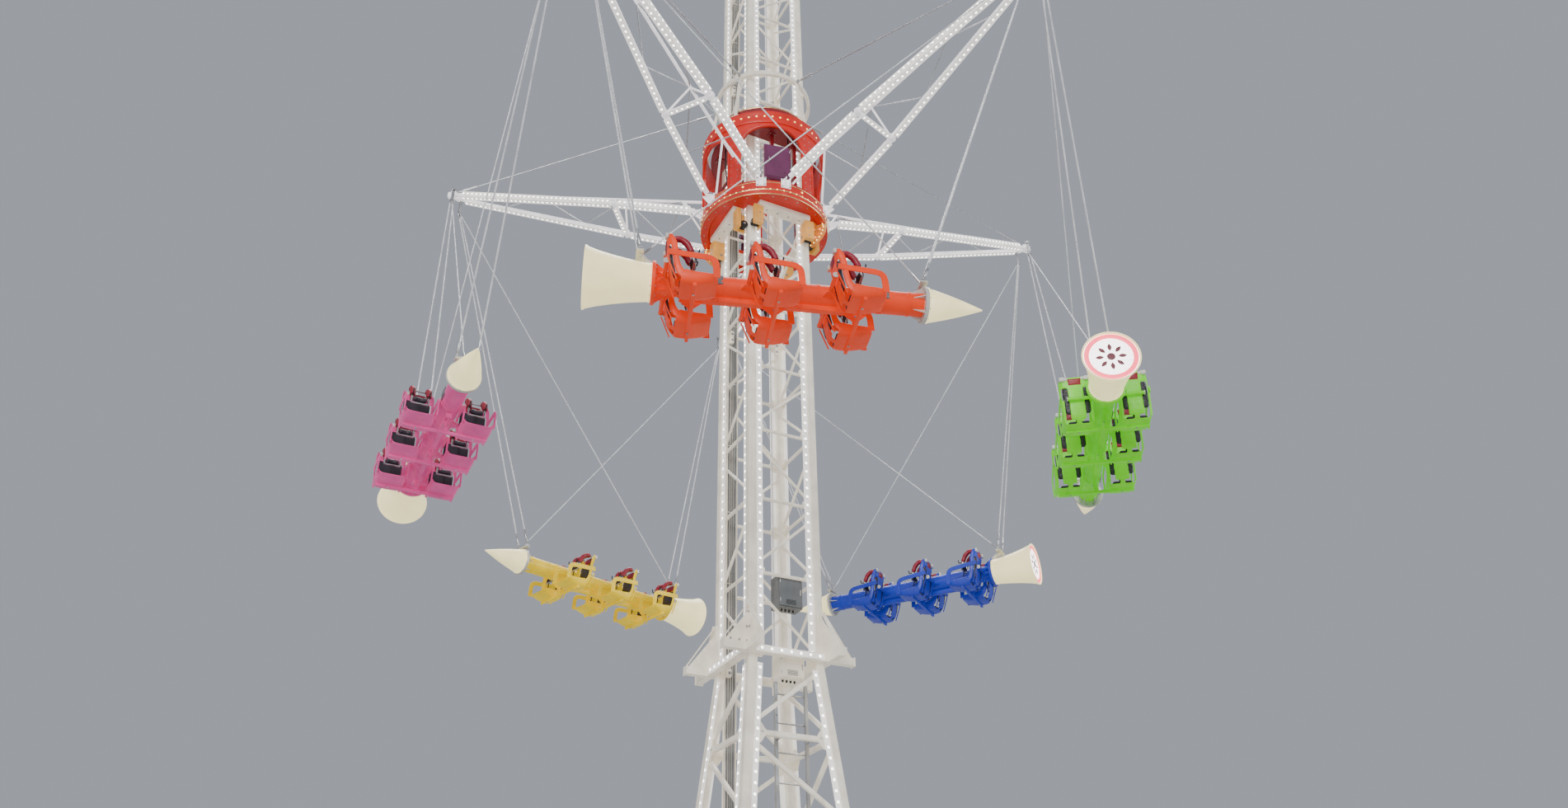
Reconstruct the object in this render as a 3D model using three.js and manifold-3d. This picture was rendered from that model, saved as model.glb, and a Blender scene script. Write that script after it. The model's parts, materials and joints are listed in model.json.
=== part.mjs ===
// Chair swing ride: a lattice mast on a splayed base, a carriage that climbs the mast, a turning
// head with five arms, and five rocket gondolas of six seats that hang between the arm tips.
// Millimetres, +Z up. The origin is on the ground, under the middle of the mast.
import * as THREE from "three";
import { mergeVertices } from "three/addons/utils/BufferGeometryUtils.js";
import Module from "manifold-3d";

const wasm = await Module();
wasm.setup();

const FIT = 0.4; // gap left between two pieces that touch
const ARM_COUNT = 5;
const ARM_STEP = (2 * Math.PI) / ARM_COUNT;
const RING_SIDES = 20; // facets of every ring about the mast, a multiple of the arm count

// Mast and base
const MAST_HALF = 667; // mast axis to the outer face of a chord
const CHORD = 150;
const BAY = 1350;
const FIRST_LEVEL = 100; // foot of a mast section to its first level bar
const BASE_TOP = 7350; // height where the splayed base ends and the mast begins
const SECTION = 5 * BAY;
const MAST_TOP = BASE_TOP + 3 * SECTION;
const BRACE = 64;
const FRAME_HALF = 1560; // half of the ground frame's outside width
const FRAME_HEIGHT = 260;
const FRAME_BEAM = 240;
const LEG_FOOT = 1310; // mast axis to the middle of a base leg at the ground frame
const OUTRIGGER_REACH = 4700; // mast axis to the middle of a jack, along a diagonal

// Turning head, at the height where the photograph shows it
const ROOT_Z = 16800; // height of the arms' lower chords where they leave the head
const HEAD_R = 1300;
const SHELL_R = 1280;
const LOWER_RING_TOP = -40;
const LOWER_RING_FOOT = -360;
const SHELL_TOP = 1900;
const PLATE_R = 1120; // outside of the carriage's round plates
const PLATE_HOLE_HALF = MAST_HALF + 33;
const LOWER_PLATE_TOP = -260;
const PLATE_THICK = 60;
const UPPER_PLATE_TOP = 1640;
const HOOD_TOP = 2250; // top of the carriage's hood ring, above the shell
const STAY_RING_Z = 3300;
const STAY_RING_R = 1055;

// Arms
const ROOT_R = 1252; // where an arm's chords reach the head at ROOT_Z
const TIP_R = 7020;
const TIP_RISE = 1820;
const KNEE_R = 3060; // where the cross piece is and the two lower chords begin to converge
const ROOT_HALF = 600;
const KNEE_HALF = 494;
const TIP_HALF = 50;
const TOP_CHORD_RISE = 750;
const HANG_OUT = 245; // arm tip to the eye of a gondola's cables, along the hinge line
const PIN_R = 22;
const EYE_R = PIN_R + 0.6;

// Gondolas
const HALF_STEP = ARM_STEP / 2;
const CHORD_R = TIP_R * Math.cos(HALF_STEP); // mast axis to the vertical plane of a gondola
const HANG_X = TIP_R * Math.sin(HALF_STEP) - HANG_OUT;
const BOOM_DROP = 6100; // the boom's axis below ROOT_Z
const TRAIL = 505; // how far a gondola trails behind the middle of its two arms
const BOOM_R = 165;
const TAIL_X = -1880; // boom's tail end, and its nose end below
const NOSE_X = 1850;
const TAIL_FLANGE_R = 295;
const NOSE_FLANGE_R = 262;
const TAIL_LUG = [-2050, 455]; // a cable lug's place along the boom, and its height
const NOSE_LUG = [1820, 330];
const CABLE_SPREAD = 150;
const CABLE_R = 13;
const DIAGONAL_R = 9;
const SEAT_PITCH = 1100;
const SEAT_OFFSET = 435; // boom axis to the middle of a seat
const SEAT_WIDTH = 500;
const ARM_LOOP = [16, 88]; // a seat's arm loop: its thickness and its depth
const CROSS_BAR_Z = -440; // cross bars below the seats, and the keel's foot
const KEEL_WIDTH = 90;

const PAINT = {
  white: { color: 0xe9e6dd, roughness: 0.45, metalness: 0.2 },
  red: { color: 0xc22a1c, roughness: 0.35, metalness: 0.2 },
  orange: { color: 0xe2561c, roughness: 0.35, metalness: 0.1 },
  cream: { color: 0xe6ddb4, roughness: 0.4, metalness: 0.0 },
  steel: { color: 0xb9bec4, roughness: 0.35, metalness: 0.8 },
  green: { color: 0x6cc81e, roughness: 0.35, metalness: 0.1 },
  blue: { color: 0x2c50a8, roughness: 0.35, metalness: 0.1 },
  yellow: { color: 0xf0c414, roughness: 0.35, metalness: 0.1 },
  pink: { color: 0xd8548c, roughness: 0.35, metalness: 0.1 },
};
const paint = Object.fromEntries(
  Object.entries(PAINT).map(([name, look]) => [name, new THREE.MeshStandardMaterial(look)]),
);

// A point, in millimetres.
const at = (x, y, z) => new THREE.Vector3(x, y, z);

// A closed three.js geometry as a solid, after an optional move.
function solid(geometry, matrix) {
  const bare = geometry.clone();
  bare.deleteAttribute("normal");
  bare.deleteAttribute("uv");
  if (matrix) bare.applyMatrix4(matrix);
  const merged = mergeVertices(bare, 1e-3);
  return new wasm.Manifold(
    new wasm.Mesh({
      numProp: 3,
      vertProperties: merged.attributes.position.array,
      triVerts: new Uint32Array(merged.index.array),
    }),
  );
}

// Many overlapping solids as one.
const join = (solids) => wasm.Manifold.union(solids);

// A solid as a named mesh.
function piece(name, body, material) {
  const mesh = body.getMesh();
  const geometry = new THREE.BufferGeometry();
  geometry.setAttribute("position", new THREE.BufferAttribute(mesh.vertProperties, 3));
  geometry.setIndex(new THREE.BufferAttribute(mesh.triVerts, 1));
  geometry.computeVertexNormals();
  const made = new THREE.Mesh(geometry, material);
  made.name = name;
  return made;
}

// Turns local +Z onto the direction from one point to another, with local X kept level or along side.
function along(from, to, side) {
  const axis = to.clone().sub(from).normalize();
  const level = side ? side.clone() : new THREE.Vector3().crossVectors(at(0, 0, 1), axis);
  if (level.lengthSq() < 1e-6) level.set(1, 0, 0);
  const across = level.addScaledVector(axis, -level.dot(axis)).normalize();
  const third = new THREE.Vector3().crossVectors(axis, across);
  const middle = from.clone().add(to).multiplyScalar(0.5);
  return new THREE.Matrix4().makeBasis(across, third, axis).setPosition(middle);
}

// A square bar between two points.
function bar(from, to, width, depth = width, side = undefined) {
  return solid(new THREE.BoxGeometry(width, depth, from.distanceTo(to)), along(from, to, side));
}

// A round bar between two points, with few sides.
function rod(from, to, radius, sides = 8, endRadius = radius) {
  const turned = new THREE.CylinderGeometry(endRadius, radius, from.distanceTo(to), sides);
  turned.rotateX(Math.PI / 2);
  return solid(turned, along(from, to));
}

// A box by its middle and its size.
const block = (centre, x, y, z) =>
  solid(new THREE.BoxGeometry(x, y, z), new THREE.Matrix4().setPosition(centre));

// A body turned about +Z from a profile of [radius, height] points that closes on itself.
function turned(profile, sides = RING_SIDES) {
  const points = profile.map(([r, z]) => new THREE.Vector2(r, z));
  const onAxis = profile[0][0] === 0 && profile.at(-1)[0] === 0;
  if (!onAxis) points.push(points[0].clone());
  const lathe = new THREE.LatheGeometry(points, sides);
  lathe.rotateX(Math.PI / 2);
  const made = solid(lathe);
  return made.volume() > 0 ? made : solid(flipped(lathe));
}

// The same geometry with its faces turned over.
function flipped(geometry) {
  const copy = geometry.clone();
  const index = copy.index.array;
  for (let i = 0; i < index.length; i += 3) [index[i + 1], index[i + 2]] = [index[i + 2], index[i + 1]];
  return copy;
}

// A ring about the mast, from two radii and two heights.
const ring = (inner, outer, low, high, sides) =>
  turned([[inner, low], [outer, low], [outer, high], [inner, high]], sides);

// A flat outline in the XZ plane, [x, z] points, made thick along Y about y.
function plate(outline, thick, y, hole) {
  const shape = new THREE.Shape(outline.map(([x, z]) => new THREE.Vector2(x, z)));
  if (hole) shape.holes.push(new THREE.Path(hole.map(([x, z]) => new THREE.Vector2(x, z))));
  const made = new THREE.ExtrudeGeometry(shape, { depth: thick, bevelEnabled: false });
  made.rotateX(Math.PI / 2);
  made.translate(0, y + thick / 2, 0);
  return solid(made);
}

const CORNERS = [[1, 1], [-1, 1], [-1, -1], [1, -1]];

// Ground frame: a square of beams with a cross under the mast.
function groundFrame() {
  const reach = FRAME_HALF - FRAME_BEAM / 2;
  const z = FRAME_HEIGHT / 2;
  const beams = CORNERS.map(([x, y], i) => {
    const [nextX, nextY] = CORNERS[(i + 1) % CORNERS.length];
    const over = FRAME_HALF / reach;
    const from = at(x * reach, y * reach, z);
    const to = at(nextX * reach, nextY * reach, z);
    const middle = from.clone().add(to).multiplyScalar(0.5);
    from.sub(middle).multiplyScalar(over).add(middle);
    to.sub(middle).multiplyScalar(over).add(middle);
    return bar(from, to, FRAME_BEAM, FRAME_HEIGHT);
  });
  beams.push(block(at(0, 0, z), 2 * reach, FRAME_BEAM, FRAME_HEIGHT));
  beams.push(block(at(0, 0, z), FRAME_BEAM, 2 * reach, FRAME_HEIGHT));
  return piece("ground_frame", join(beams), paint.white);
}

// One outrigger: a beam out from a corner of the ground frame, with a jack and a foot plate.
function outrigger(name, turn) {
  const group = new THREE.Group();
  group.rotation.z = turn;
  const beamZ = FRAME_HEIGHT / 2 + 60;
  const inner = FRAME_HALF * Math.SQRT2;
  const foot = at(OUTRIGGER_REACH, 0, 0);
  const body = join([
    bar(at(inner - 200, 0, beamZ), at(OUTRIGGER_REACH, 0, beamZ), 200),
    rod(at(foot.x, 0, 30), at(foot.x, 0, 620), 70, 8),
    block(at(foot.x, 0, 30), 520, 520, 60),
  ]);
  const cornerCut = solid(
    new THREE.BoxGeometry(2 * (FRAME_HALF + FIT), 2 * (FRAME_HALF + FIT), 2 * FRAME_HEIGHT + 400),
    new THREE.Matrix4().makeRotationZ(Math.PI / 4),
  );
  group.add(piece(name, body.subtract(cornerCut), paint.white));
  return group;
}

// Distance from the mast's axis to the middle of a base leg, along X or Y, at a height.
function legSpread(z) {
  const fraction = (z - FRAME_HEIGHT) / (BASE_TOP - FRAME_HEIGHT);
  return LEG_FOOT + (MAST_HALF - CHORD / 2 - LEG_FOOT) * fraction;
}

// Splayed base: four leaning legs, level bars and one diagonal in each bay of each side.
const BASE_LEVELS = [1000, 2290, 3580, 4870, 6160];
const BASE_BAR = 84;
function baseLattice() {
  const foot = FRAME_HEIGHT + FIT;
  const top = BASE_TOP - FIT;
  const corner = ([x, y], z) => at(x * legSpread(z), y * legSpread(z), z);
  const trim = (body) => body.trimByPlane([0, 0, 1], foot).trimByPlane([0, 0, -1], -top);
  const bars = CORNERS.map((c) => bar(corner(c, foot - 60), corner(c, top + 60), CHORD, CHORD, at(1, 0, 0)));
  CORNERS.forEach((c, i) => {
    const next = CORNERS[(i + 1) % CORNERS.length];
    BASE_LEVELS.forEach((z) => bars.push(bar(corner(c, z), corner(next, z), BASE_BAR)));
    [foot, ...BASE_LEVELS].forEach((z, n) => {
      const [low, high] = n % 2 ? [c, next] : [next, c];
      const above = BASE_LEVELS[n] ?? top;
      bars.push(bar(corner(low, z + 90), corner(high, above - 90), 70));
    });
  });
  return piece("base_lattice", trim(join(bars)), paint.white);
}

// One of the three lengths of the square mast, with a level bar and a diagonal in every bay.
function mastSection(name, section) {
  const bottom = BASE_TOP + section * SECTION;
  const low = bottom + FIT;
  const high = bottom + SECTION - FIT;
  const axis = MAST_HALF - CHORD / 2;
  const corner = ([x, y], z) => at(x * axis, y * axis, z);
  const bars = CORNERS.map((c) => bar(corner(c, low), corner(c, high), CHORD));
  const bays = SECTION / BAY;
  CORNERS.forEach((c, i) => {
    const next = CORNERS[(i + 1) % CORNERS.length];
    for (let n = 0; n < bays; n++) {
      const z = bottom + FIRST_LEVEL + n * BAY;
      const [from, to] = (section + n) % 2 ? [c, next] : [next, c];
      bars.push(rod(corner(c, z), corner(next, z), BRACE / 2, 4));
      bars.push(rod(corner(from, z + 60), corner(to, z + BAY - 220), BRACE / 2, 4));
    }
  });
  return piece(name, join(bars), paint.white);
}

// Frame round the mast's foot: a beam along each side that runs on past both corners, and a
// gusset from each beam end up to the corner.
const COLLAR_Z = BASE_TOP + 100;
const COLLAR_BEAM = 120;
const COLLAR_REACH = MAST_HALF + 500;
function collarFrame() {
  const off = MAST_HALF + FIT + COLLAR_BEAM / 2;
  const inner = MAST_HALF - 100;
  const gusset = [[inner, COLLAR_Z], [COLLAR_REACH, COLLAR_Z], [inner, COLLAR_Z + 780]];
  const parts = [];
  for (let i = 0; i < 4; i++) {
    const turn = new THREE.Matrix4().makeRotationZ((i * Math.PI) / 2);
    const beam = block(at(0, -off, COLLAR_Z), 2 * COLLAR_REACH, COLLAR_BEAM, COLLAR_BEAM);
    const wing = plate(gusset, 20, -MAST_HALF - FIT - 10);
    const twin = wing.mirror([1, 0, 0]);
    parts.push(join([beam, wing, twin]).transform(turn.elements));
  }
  return piece("collar_frame", join(parts), paint.white);
}

// Ladder that stands on the ground frame inside one side of the base.
const LADDER_Y = -470;
const LADDER_X = [-120, 410];
const LADDER_TOP = 7050;
function accessLadder() {
  const low = FRAME_HEIGHT + FIT;
  const parts = LADDER_X.map((x) => bar(at(x, LADDER_Y, low), at(x, LADDER_Y, LADDER_TOP), 50));
  for (let z = low + 300; z < LADDER_TOP; z += 450)
    parts.push(rod(at(LADDER_X[0], LADDER_Y, z), at(LADDER_X[1], LADDER_Y, z), 14, 4));
  parts.push(bar(at(LADDER_X[0] - 25, LADDER_Y, low + 25), at(LADDER_X[1] + 25, LADDER_Y, low + 25), 50));
  for (const z of [BASE_LEVELS[1], BASE_LEVELS.at(-1)])
    for (const x of LADDER_X)
      parts.push(bar(at(x, LADDER_Y, z), at(x, BASE_BAR / 2 + FIT - legSpread(z), z), 40));
  return piece("access_ladder", join(parts), paint.steel);
}

// A box fixed to the inside of a level bar of the mast, on the ladder's side.
const BAR_INSIDE = MAST_HALF - CHORD / 2 - BRACE / 2 - FIT;
function barBox(name, [low, high], material) {
  const [width, depth] = [450, 300];
  const middle = at((LADDER_X[0] + LADDER_X[1]) / 2, depth / 2 - BAR_INSIDE, (low + high) / 2);
  return piece(name, block(middle, width, depth, high - low), material);
}

// Loop of hoist rope that runs from the winch in the base to the head sheave.
const ROPE_LOOP_R = 276;
const SHEAVE_Z = MAST_TOP + 420;
const WINCH_Z = FRAME_HEIGHT + 420;
const ROPE_R = 14;
const HOIST_Y = 330; // plane of the rope, inside the mast
function hoistRope() {
  const straight = (x) => rod(at(x, HOIST_Y, WINCH_Z), at(x, HOIST_Y, SHEAVE_Z), ROPE_R, 4);
  const bend = (z, way) => {
    const steps = 8;
    const [r, turn] = [ROPE_LOOP_R, Math.PI / steps];
    const point = (i) => at(-r * Math.cos(i * turn), HOIST_Y, z + way * r * Math.sin(i * turn));
    return Array.from({ length: steps }, (_, i) => rod(point(i), point(i + 1), ROPE_R, 4));
  };
  const all = [straight(-ROPE_LOOP_R), straight(ROPE_LOOP_R), ...bend(SHEAVE_Z, 1), ...bend(WINCH_Z, -1)];
  return piece("hoist_rope_loop", join(all), paint.steel);
}

// Grooved wheel with its shaft, about a level axis in the rope's plane.
function grooved(z, shaftHalf) {
  const [half, rim] = [60, ROPE_LOOP_R + ROPE_R];
  const bottom = ROPE_LOOP_R * Math.cos(Math.PI / 16) - ROPE_R;
  const profile = [[0, -shaftHalf], [40, -shaftHalf], [40, -half], [rim, -half], [bottom, -18], [bottom, 18],
    [rim, half], [40, half], [40, shaftHalf], [0, shaftHalf]];
  const level = new THREE.Matrix4().makeRotationX(Math.PI / 2);
  return turned(profile, 12).transform(level.elements).translate([0, HOIST_Y, z]);
}

// Winch drum and its two stands on the cross beam of the ground frame.
function winch() {
  const foot = FRAME_HEIGHT + FIT;
  const stands = [-130, 130].map((y) =>
    block(at(0, HOIST_Y + y, (foot + WINCH_Z + 60) / 2), 160, 40, WINCH_Z + 60 - foot));
  return piece("hoist_winch", join([grooved(WINCH_Z, 160), ...stands]), paint.steel);
}

// Mast head: a cap frame on the four chords that carries the sheave, and a raised plate above it.
function mastHead() {
  const half = MAST_HALF + 60;
  const low = MAST_TOP + FIT;
  const parts = [];
  for (const side of [-1, 1]) {
    parts.push(block(at(side * (half - 60), 0, low + 60), 120, 2 * half, 120));
    parts.push(block(at(0, side * (half - 60), low + 60), 2 * half, 120, 120));
    const cheekY = HOIST_Y + side * 130;
    parts.push(block(at(0, cheekY, low + 60), 2 * half - 60, 50, 120));
    parts.push(block(at(0, cheekY, low + 310), 160, 50, 620));
  }
  CORNERS.forEach(([x, y]) =>
    parts.push(bar(at(x * (half - 60), y * (half - 60), low + 60), at(x * 100, y * 100, low + 900), 80)));
  parts.push(block(at(0, 0, low + 900), 320, 320, 90));
  const shaftHole = rod(at(0, HOIST_Y - 200, SHEAVE_Z), at(0, HOIST_Y + 200, SHEAVE_Z), 40 + FIT * 2, 12);
  const ropes = [-1, 1].map((side) =>
    block(at(side * ROPE_LOOP_R, HOIST_Y, low + 60), 60, 60, 400));
  return piece("mast_head", join(parts).subtract(join([shaftHole, ...ropes])), paint.white);
}

const headSheave = () => piece("head_sheave", grooved(SHEAVE_Z, 160), paint.steel);

// Round beacon on a stem above the mast head.
function topBeacon() {
  const low = MAST_TOP + FIT + 945 + FIT;
  return piece(
    "top_beacon",
    turned([[0, low], [70, low], [50, low + 260], [220, low + 340], [220, low + 560], [0, low + 760]], 10),
    paint.red,
  );
}

// Carriage cage: two round plates about the mast held apart by posts, a hood ring on the upper
// plate, and an upright scroll plate below the lower one at two opposite corners of the mast.
const SCROLL_LINE = [
  [990, -290], [1110, -290], [1110, -375], [1300, -375], [1310, -480], [1270, -640], [1150, -800],
  [1030, -900], [990, -900],
];
function carriageCage() {
  const hole = block(at(0, 0, ROOT_Z), 2 * PLATE_HOLE_HALF, 2 * PLATE_HOLE_HALF, 8000);
  const parts = [LOWER_PLATE_TOP, UPPER_PLATE_TOP].map((top) =>
    ring(0.5 * PLATE_HOLE_HALF, PLATE_R, ROOT_Z + top - PLATE_THICK, ROOT_Z + top));
  parts.push(ring(1000, 1070, ROOT_Z + UPPER_PLATE_TOP - 20, ROOT_Z + HOOD_TOP));
  for (let i = 0; i < 4; i++) {
    const angle = (i * Math.PI) / 2;
    for (const aside of [-0.28, 0.28]) {
      const [x, y] = [930 * Math.cos(angle + aside), 930 * Math.sin(angle + aside)];
      parts.push(bar(at(x, y, ROOT_Z + LOWER_PLATE_TOP - 20), at(x, y, ROOT_Z + UPPER_PLATE_TOP - 20), 80));
    }
  }
  for (const angle of [-Math.PI / 4, 0.75 * Math.PI]) {
    const turn = new THREE.Matrix4().makeRotationZ(angle).setPosition(at(0, 0, ROOT_Z));
    parts.push(plate(SCROLL_LINE, 40, 0).transform(turn.elements));
  }
  return piece("carriage_cage", join(parts).subtract(hole), paint.red);
}

// Guide rollers under the carriage: on each side of the mast a top block with a bracket and a
// long roller at each chord.
const ROLLER_R = 75;
const BRACKET_DROP = 560;
const BRACKET_WIDTH = 200;
function rollerUnit(name, turn) {
  const group = new THREE.Group();
  group.rotation.z = turn;
  const top = ROOT_Z + LOWER_PLATE_TOP - PLATE_THICK - FIT;
  const x = MAST_HALF + FIT + ROLLER_R;
  const z = top - BRACKET_DROP + 120;
  const chordY = MAST_HALF - CHORD / 2;
  const parts = [block(at(x + 95, 0, top - 60), 240, 2 * chordY, 120)];
  for (const side of [-1, 1]) {
    const inner = side * (chordY - 95);
    const outer = side * (chordY + 50);
    parts.push(block(at(x + 130, side * (chordY - 30), top - 330), 90, BRACKET_WIDTH, 460));
    parts.push(block(at(x + 20, side * (chordY - 115), top - 330), 200, 30, 460));
    parts.push(rod(at(x, inner, z), at(x, outer, z), ROLLER_R - FIT, 12));
    parts.push(rod(at(x, side * (chordY - 125), z), at(x, inner, z), 30, 6));
  }
  const keep = solid(new THREE.CylinderGeometry(PLATE_R - 10, PLATE_R - 10, 4000, 24).rotateX(Math.PI / 2),
    new THREE.Matrix4().setPosition(at(0, 0, ROOT_Z)));
  group.add(piece(name, join(parts).intersect(keep), paint.cream));
  return group;
}

// Lower ring of the turning head: a band about the carriage's lower plate, with a lip that runs
// on the plate and a flange below it.
function headRing() {
  const foot = ROOT_Z + LOWER_RING_FOOT;
  const lip = ROOT_Z + LOWER_PLATE_TOP + 0.5;
  const high = ROOT_Z + LOWER_RING_TOP;
  return piece(
    "head_lower_ring",
    turned([[1140, foot], [HEAD_R, foot], [HEAD_R, high], [1210, high], [1210, lip + 70], [1040, lip + 70],
      [1040, lip], [1210, lip], [1210, foot + 25], [1140, foot + 25]]),
    paint.red,
  );
}

// Red shell of the turning head: a drum with an arched opening between each two arms and a
// hoop above and below.
function headShell() {
  const low = ROOT_Z + LOWER_RING_TOP + FIT;
  const high = ROOT_Z + SHELL_TOP;
  const drum = ring(SHELL_R - 60, SHELL_R, low, high);
  const hoop = ring(SHELL_R - 60, HEAD_R, high - 330, high);
  const [halfWidth, foot, spring, rise] = [640, low + 30, low + 1090, 450];
  const outline = [[-halfWidth, foot], [halfWidth, foot], [halfWidth, spring]];
  const steps = 6;
  for (let i = 1; i < steps; i++) {
    const angle = (i * Math.PI) / steps;
    outline.push([halfWidth * Math.cos(angle), spring + rise * Math.sin(angle)]);
  }
  outline.push([-halfWidth, spring]);
  const arches = Array.from({ length: ARM_COUNT }, (_, i) => {
    const cutter = plate(outline, 600, -SHELL_R);
    const turn = new THREE.Matrix4().makeRotationZ(Math.PI / 2 + HALF_STEP + i * ARM_STEP);
    return cutter.transform(turn.elements);
  });
  return piece("head_shell", join([drum, hoop]).subtract(join(arches)), paint.red);
}

// Stay ring above the head on five struts.
function stayRing() {
  const z = ROOT_Z + STAY_RING_Z;
  const parts = [ring(STAY_RING_R - 70, STAY_RING_R, z - 60, z + 60)];
  for (let i = 0; i < ARM_COUNT; i++) {
    const angle = i * ARM_STEP;
    const out = (r, height) => at(r * Math.cos(angle), r * Math.sin(angle), height);
    parts.push(bar(out(1245, ROOT_Z + SHELL_TOP + FIT - 40), out(1020, z), 60));
  }
  const clear = ring(SHELL_R - 200, HEAD_R + 50, ROOT_Z + SHELL_TOP - 300, ROOT_Z + SHELL_TOP + FIT);
  return piece("stay_ring", join(parts).subtract(clear), paint.white);
}

// One arm along +X: two lower chords that meet at the tip, a cross piece at the knee, one top
// chord, a stay rod up to the stay ring, and a tip block with a pin on each side for the
// gondolas' cables.
function arm(name, turn) {
  const group = new THREE.Group();
  group.rotation.z = turn;
  const slope = TIP_RISE / (TIP_R - ROOT_R);
  const height = (r) => ROOT_Z + slope * (r - ROOT_R);
  const upper = (r) => height(r) + 60 + (TOP_CHORD_RISE - 60) * ((TIP_R - r) / (TIP_R - ROOT_R));
  const tip = at(TIP_R, 0, ROOT_Z + TIP_RISE);
  const parts = [];
  for (const side of [-1, 1]) {
    const root = at(1080, side * (ROOT_HALF + 10), height(1080));
    const knee = at(KNEE_R, side * KNEE_HALF, height(KNEE_R));
    const end = at(TIP_R - 60, side * TIP_HALF, height(TIP_R - 60));
    parts.push(rod(root, knee, 56, 6), rod(knee, end, 56, 6, 42), block(knee, 90, 110, 120));
    parts.push(block(at(1330, root.y, ROOT_Z - 60), 120, 200, 220));
    parts.push(rod(knee, at(KNEE_R - 60, 0, upper(KNEE_R - 60)), 28, 4));
    parts.push(rod(at(1180, side * 420, ROOT_Z), at(1750, 0, upper(1750)), 28, 4));
    const pinWay = at(Math.cos(Math.PI / 2 + HALF_STEP), side * Math.sin(Math.PI / 2 + HALF_STEP), 0);
    const onPin = (d) => tip.clone().addScaledVector(pinWay, d);
    parts.push(rod(onPin(0), onPin(HANG_OUT + 34), PIN_R, 12));
    parts.push(rod(onPin(HANG_OUT + 26), onPin(HANG_OUT + 44), PIN_R + 16, 6));
    parts.push(rod(onPin(20), onPin(HANG_OUT - 26), PIN_R + 18, 6));
  }
  parts.push(rod(at(KNEE_R, -KNEE_HALF, height(KNEE_R)), at(KNEE_R, KNEE_HALF, height(KNEE_R)), 44, 4));
  parts.push(rod(at(1180, 0, upper(1180)), at(TIP_R - 200, 0, upper(TIP_R - 200)), 34, 6));
  parts.push(block(at(TIP_R - 40, 0, tip.z), 200, 150, 150));
  const ringCut = ring(1, HEAD_R + FIT, ROOT_Z - 900, ROOT_Z + 80);
  const shellCut = ring(1, SHELL_R + FIT, ROOT_Z - 900, ROOT_Z + SHELL_TOP + 300);
  const stayFoot = at(TIP_R - 40, 0, tip.z + 60);
  const stayHead = at(STAY_RING_R + 4, 0, ROOT_Z + STAY_RING_Z);
  parts.push(rod(stayFoot, stayHead, 14, 4));
  const body = join(parts).subtract(join([ringCut, shellCut]));
  group.add(piece(name, body, paint.white));
  return group;
}

// Where a gondola's own frame lies: +X forward along the boom, +Y inward, +Z up, from the boom's
// middle.
const BOOM_Z = ROOT_Z - BOOM_DROP;
const inGondola = (x, y, z) => at(x - TRAIL, y - CHORD_R, z + BOOM_Z);

// Boom of a gondola with its two cable lugs and the cross tubes that carry the seats.
const SEAT_ROWS = [-1350, -1350 + SEAT_PITCH, -1350 + 2 * SEAT_PITCH];
const SEAT_TUBE_X = -364; // cross tube behind the seat's back
const SEAT_TUBE_Z = -60;
function gondolaFrame(name, material) {
  const parts = [rod(inGondola(TAIL_X, 0, 0), inGondola(NOSE_X, 0, 0), BOOM_R, 12)];
  parts.push(rod(inGondola(TAIL_X, 0, 0), inGondola(TAIL_X + 50, 0, 0), TAIL_FLANGE_R, 12));
  parts.push(rod(inGondola(NOSE_X - 50, 0, 0), inGondola(NOSE_X, 0, 0), NOSE_FLANGE_R, 12));
  const [tailLugX, tailLugZ] = TAIL_LUG;
  const [noseLugX, noseLugZ] = NOSE_LUG;
  const tailFoot = inGondola(TAIL_X + 25, 0, TAIL_FLANGE_R - 8);
  parts.push(bar(tailFoot, inGondola(tailLugX, 0, tailLugZ - 70), 90, 60));
  parts.push(block(inGondola(noseLugX, 0, NOSE_FLANGE_R), 60, 90, 2 * (noseLugZ - 55 - NOSE_FLANGE_R)));
  for (const [x, z] of [TAIL_LUG, NOSE_LUG])
    parts.push(block(inGondola(x, 0, z - 40 - FIT), 110, 2 * CABLE_SPREAD + 60, 30));
  for (const row of SEAT_ROWS) {
    const x = row + SEAT_TUBE_X;
    const end = SEAT_OFFSET + 150;
    parts.push(rod(inGondola(x, -end, SEAT_TUBE_Z), inGondola(x, end, SEAT_TUBE_Z), 30, 6));
  }
  return piece(name, join(parts), material);
}

// Pointed nose, solid, and flared tail, a shell that a disc closes.
function noseCone(name) {
  const made = turned([[0, 0], [250, 0], [243, 40], [20, 800], [0, 815]], 12);
  const turn = new THREE.Matrix4().makeRotationY(Math.PI / 2);
  const put = new THREE.Matrix4().setPosition(inGondola(NOSE_X + FIT, 0, 0)).multiply(turn);
  return piece(name, made.transform(put.elements), paint.cream);
}

function tailCone(name) {
  const profile = [[0, 840], [395, 840], [244, 60], [120, 60], [120, 0], [262, 0], [430, 850], [430, 880],
    [0, 880]];
  const made = turned(profile, 12);
  const turn = new THREE.Matrix4().makeRotationY(-Math.PI / 2);
  const put = new THREE.Matrix4().setPosition(inGondola(TAIL_X - FIT, 0, 0)).multiply(turn);
  return piece(name, made.transform(put.elements), paint.cream);
}

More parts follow.
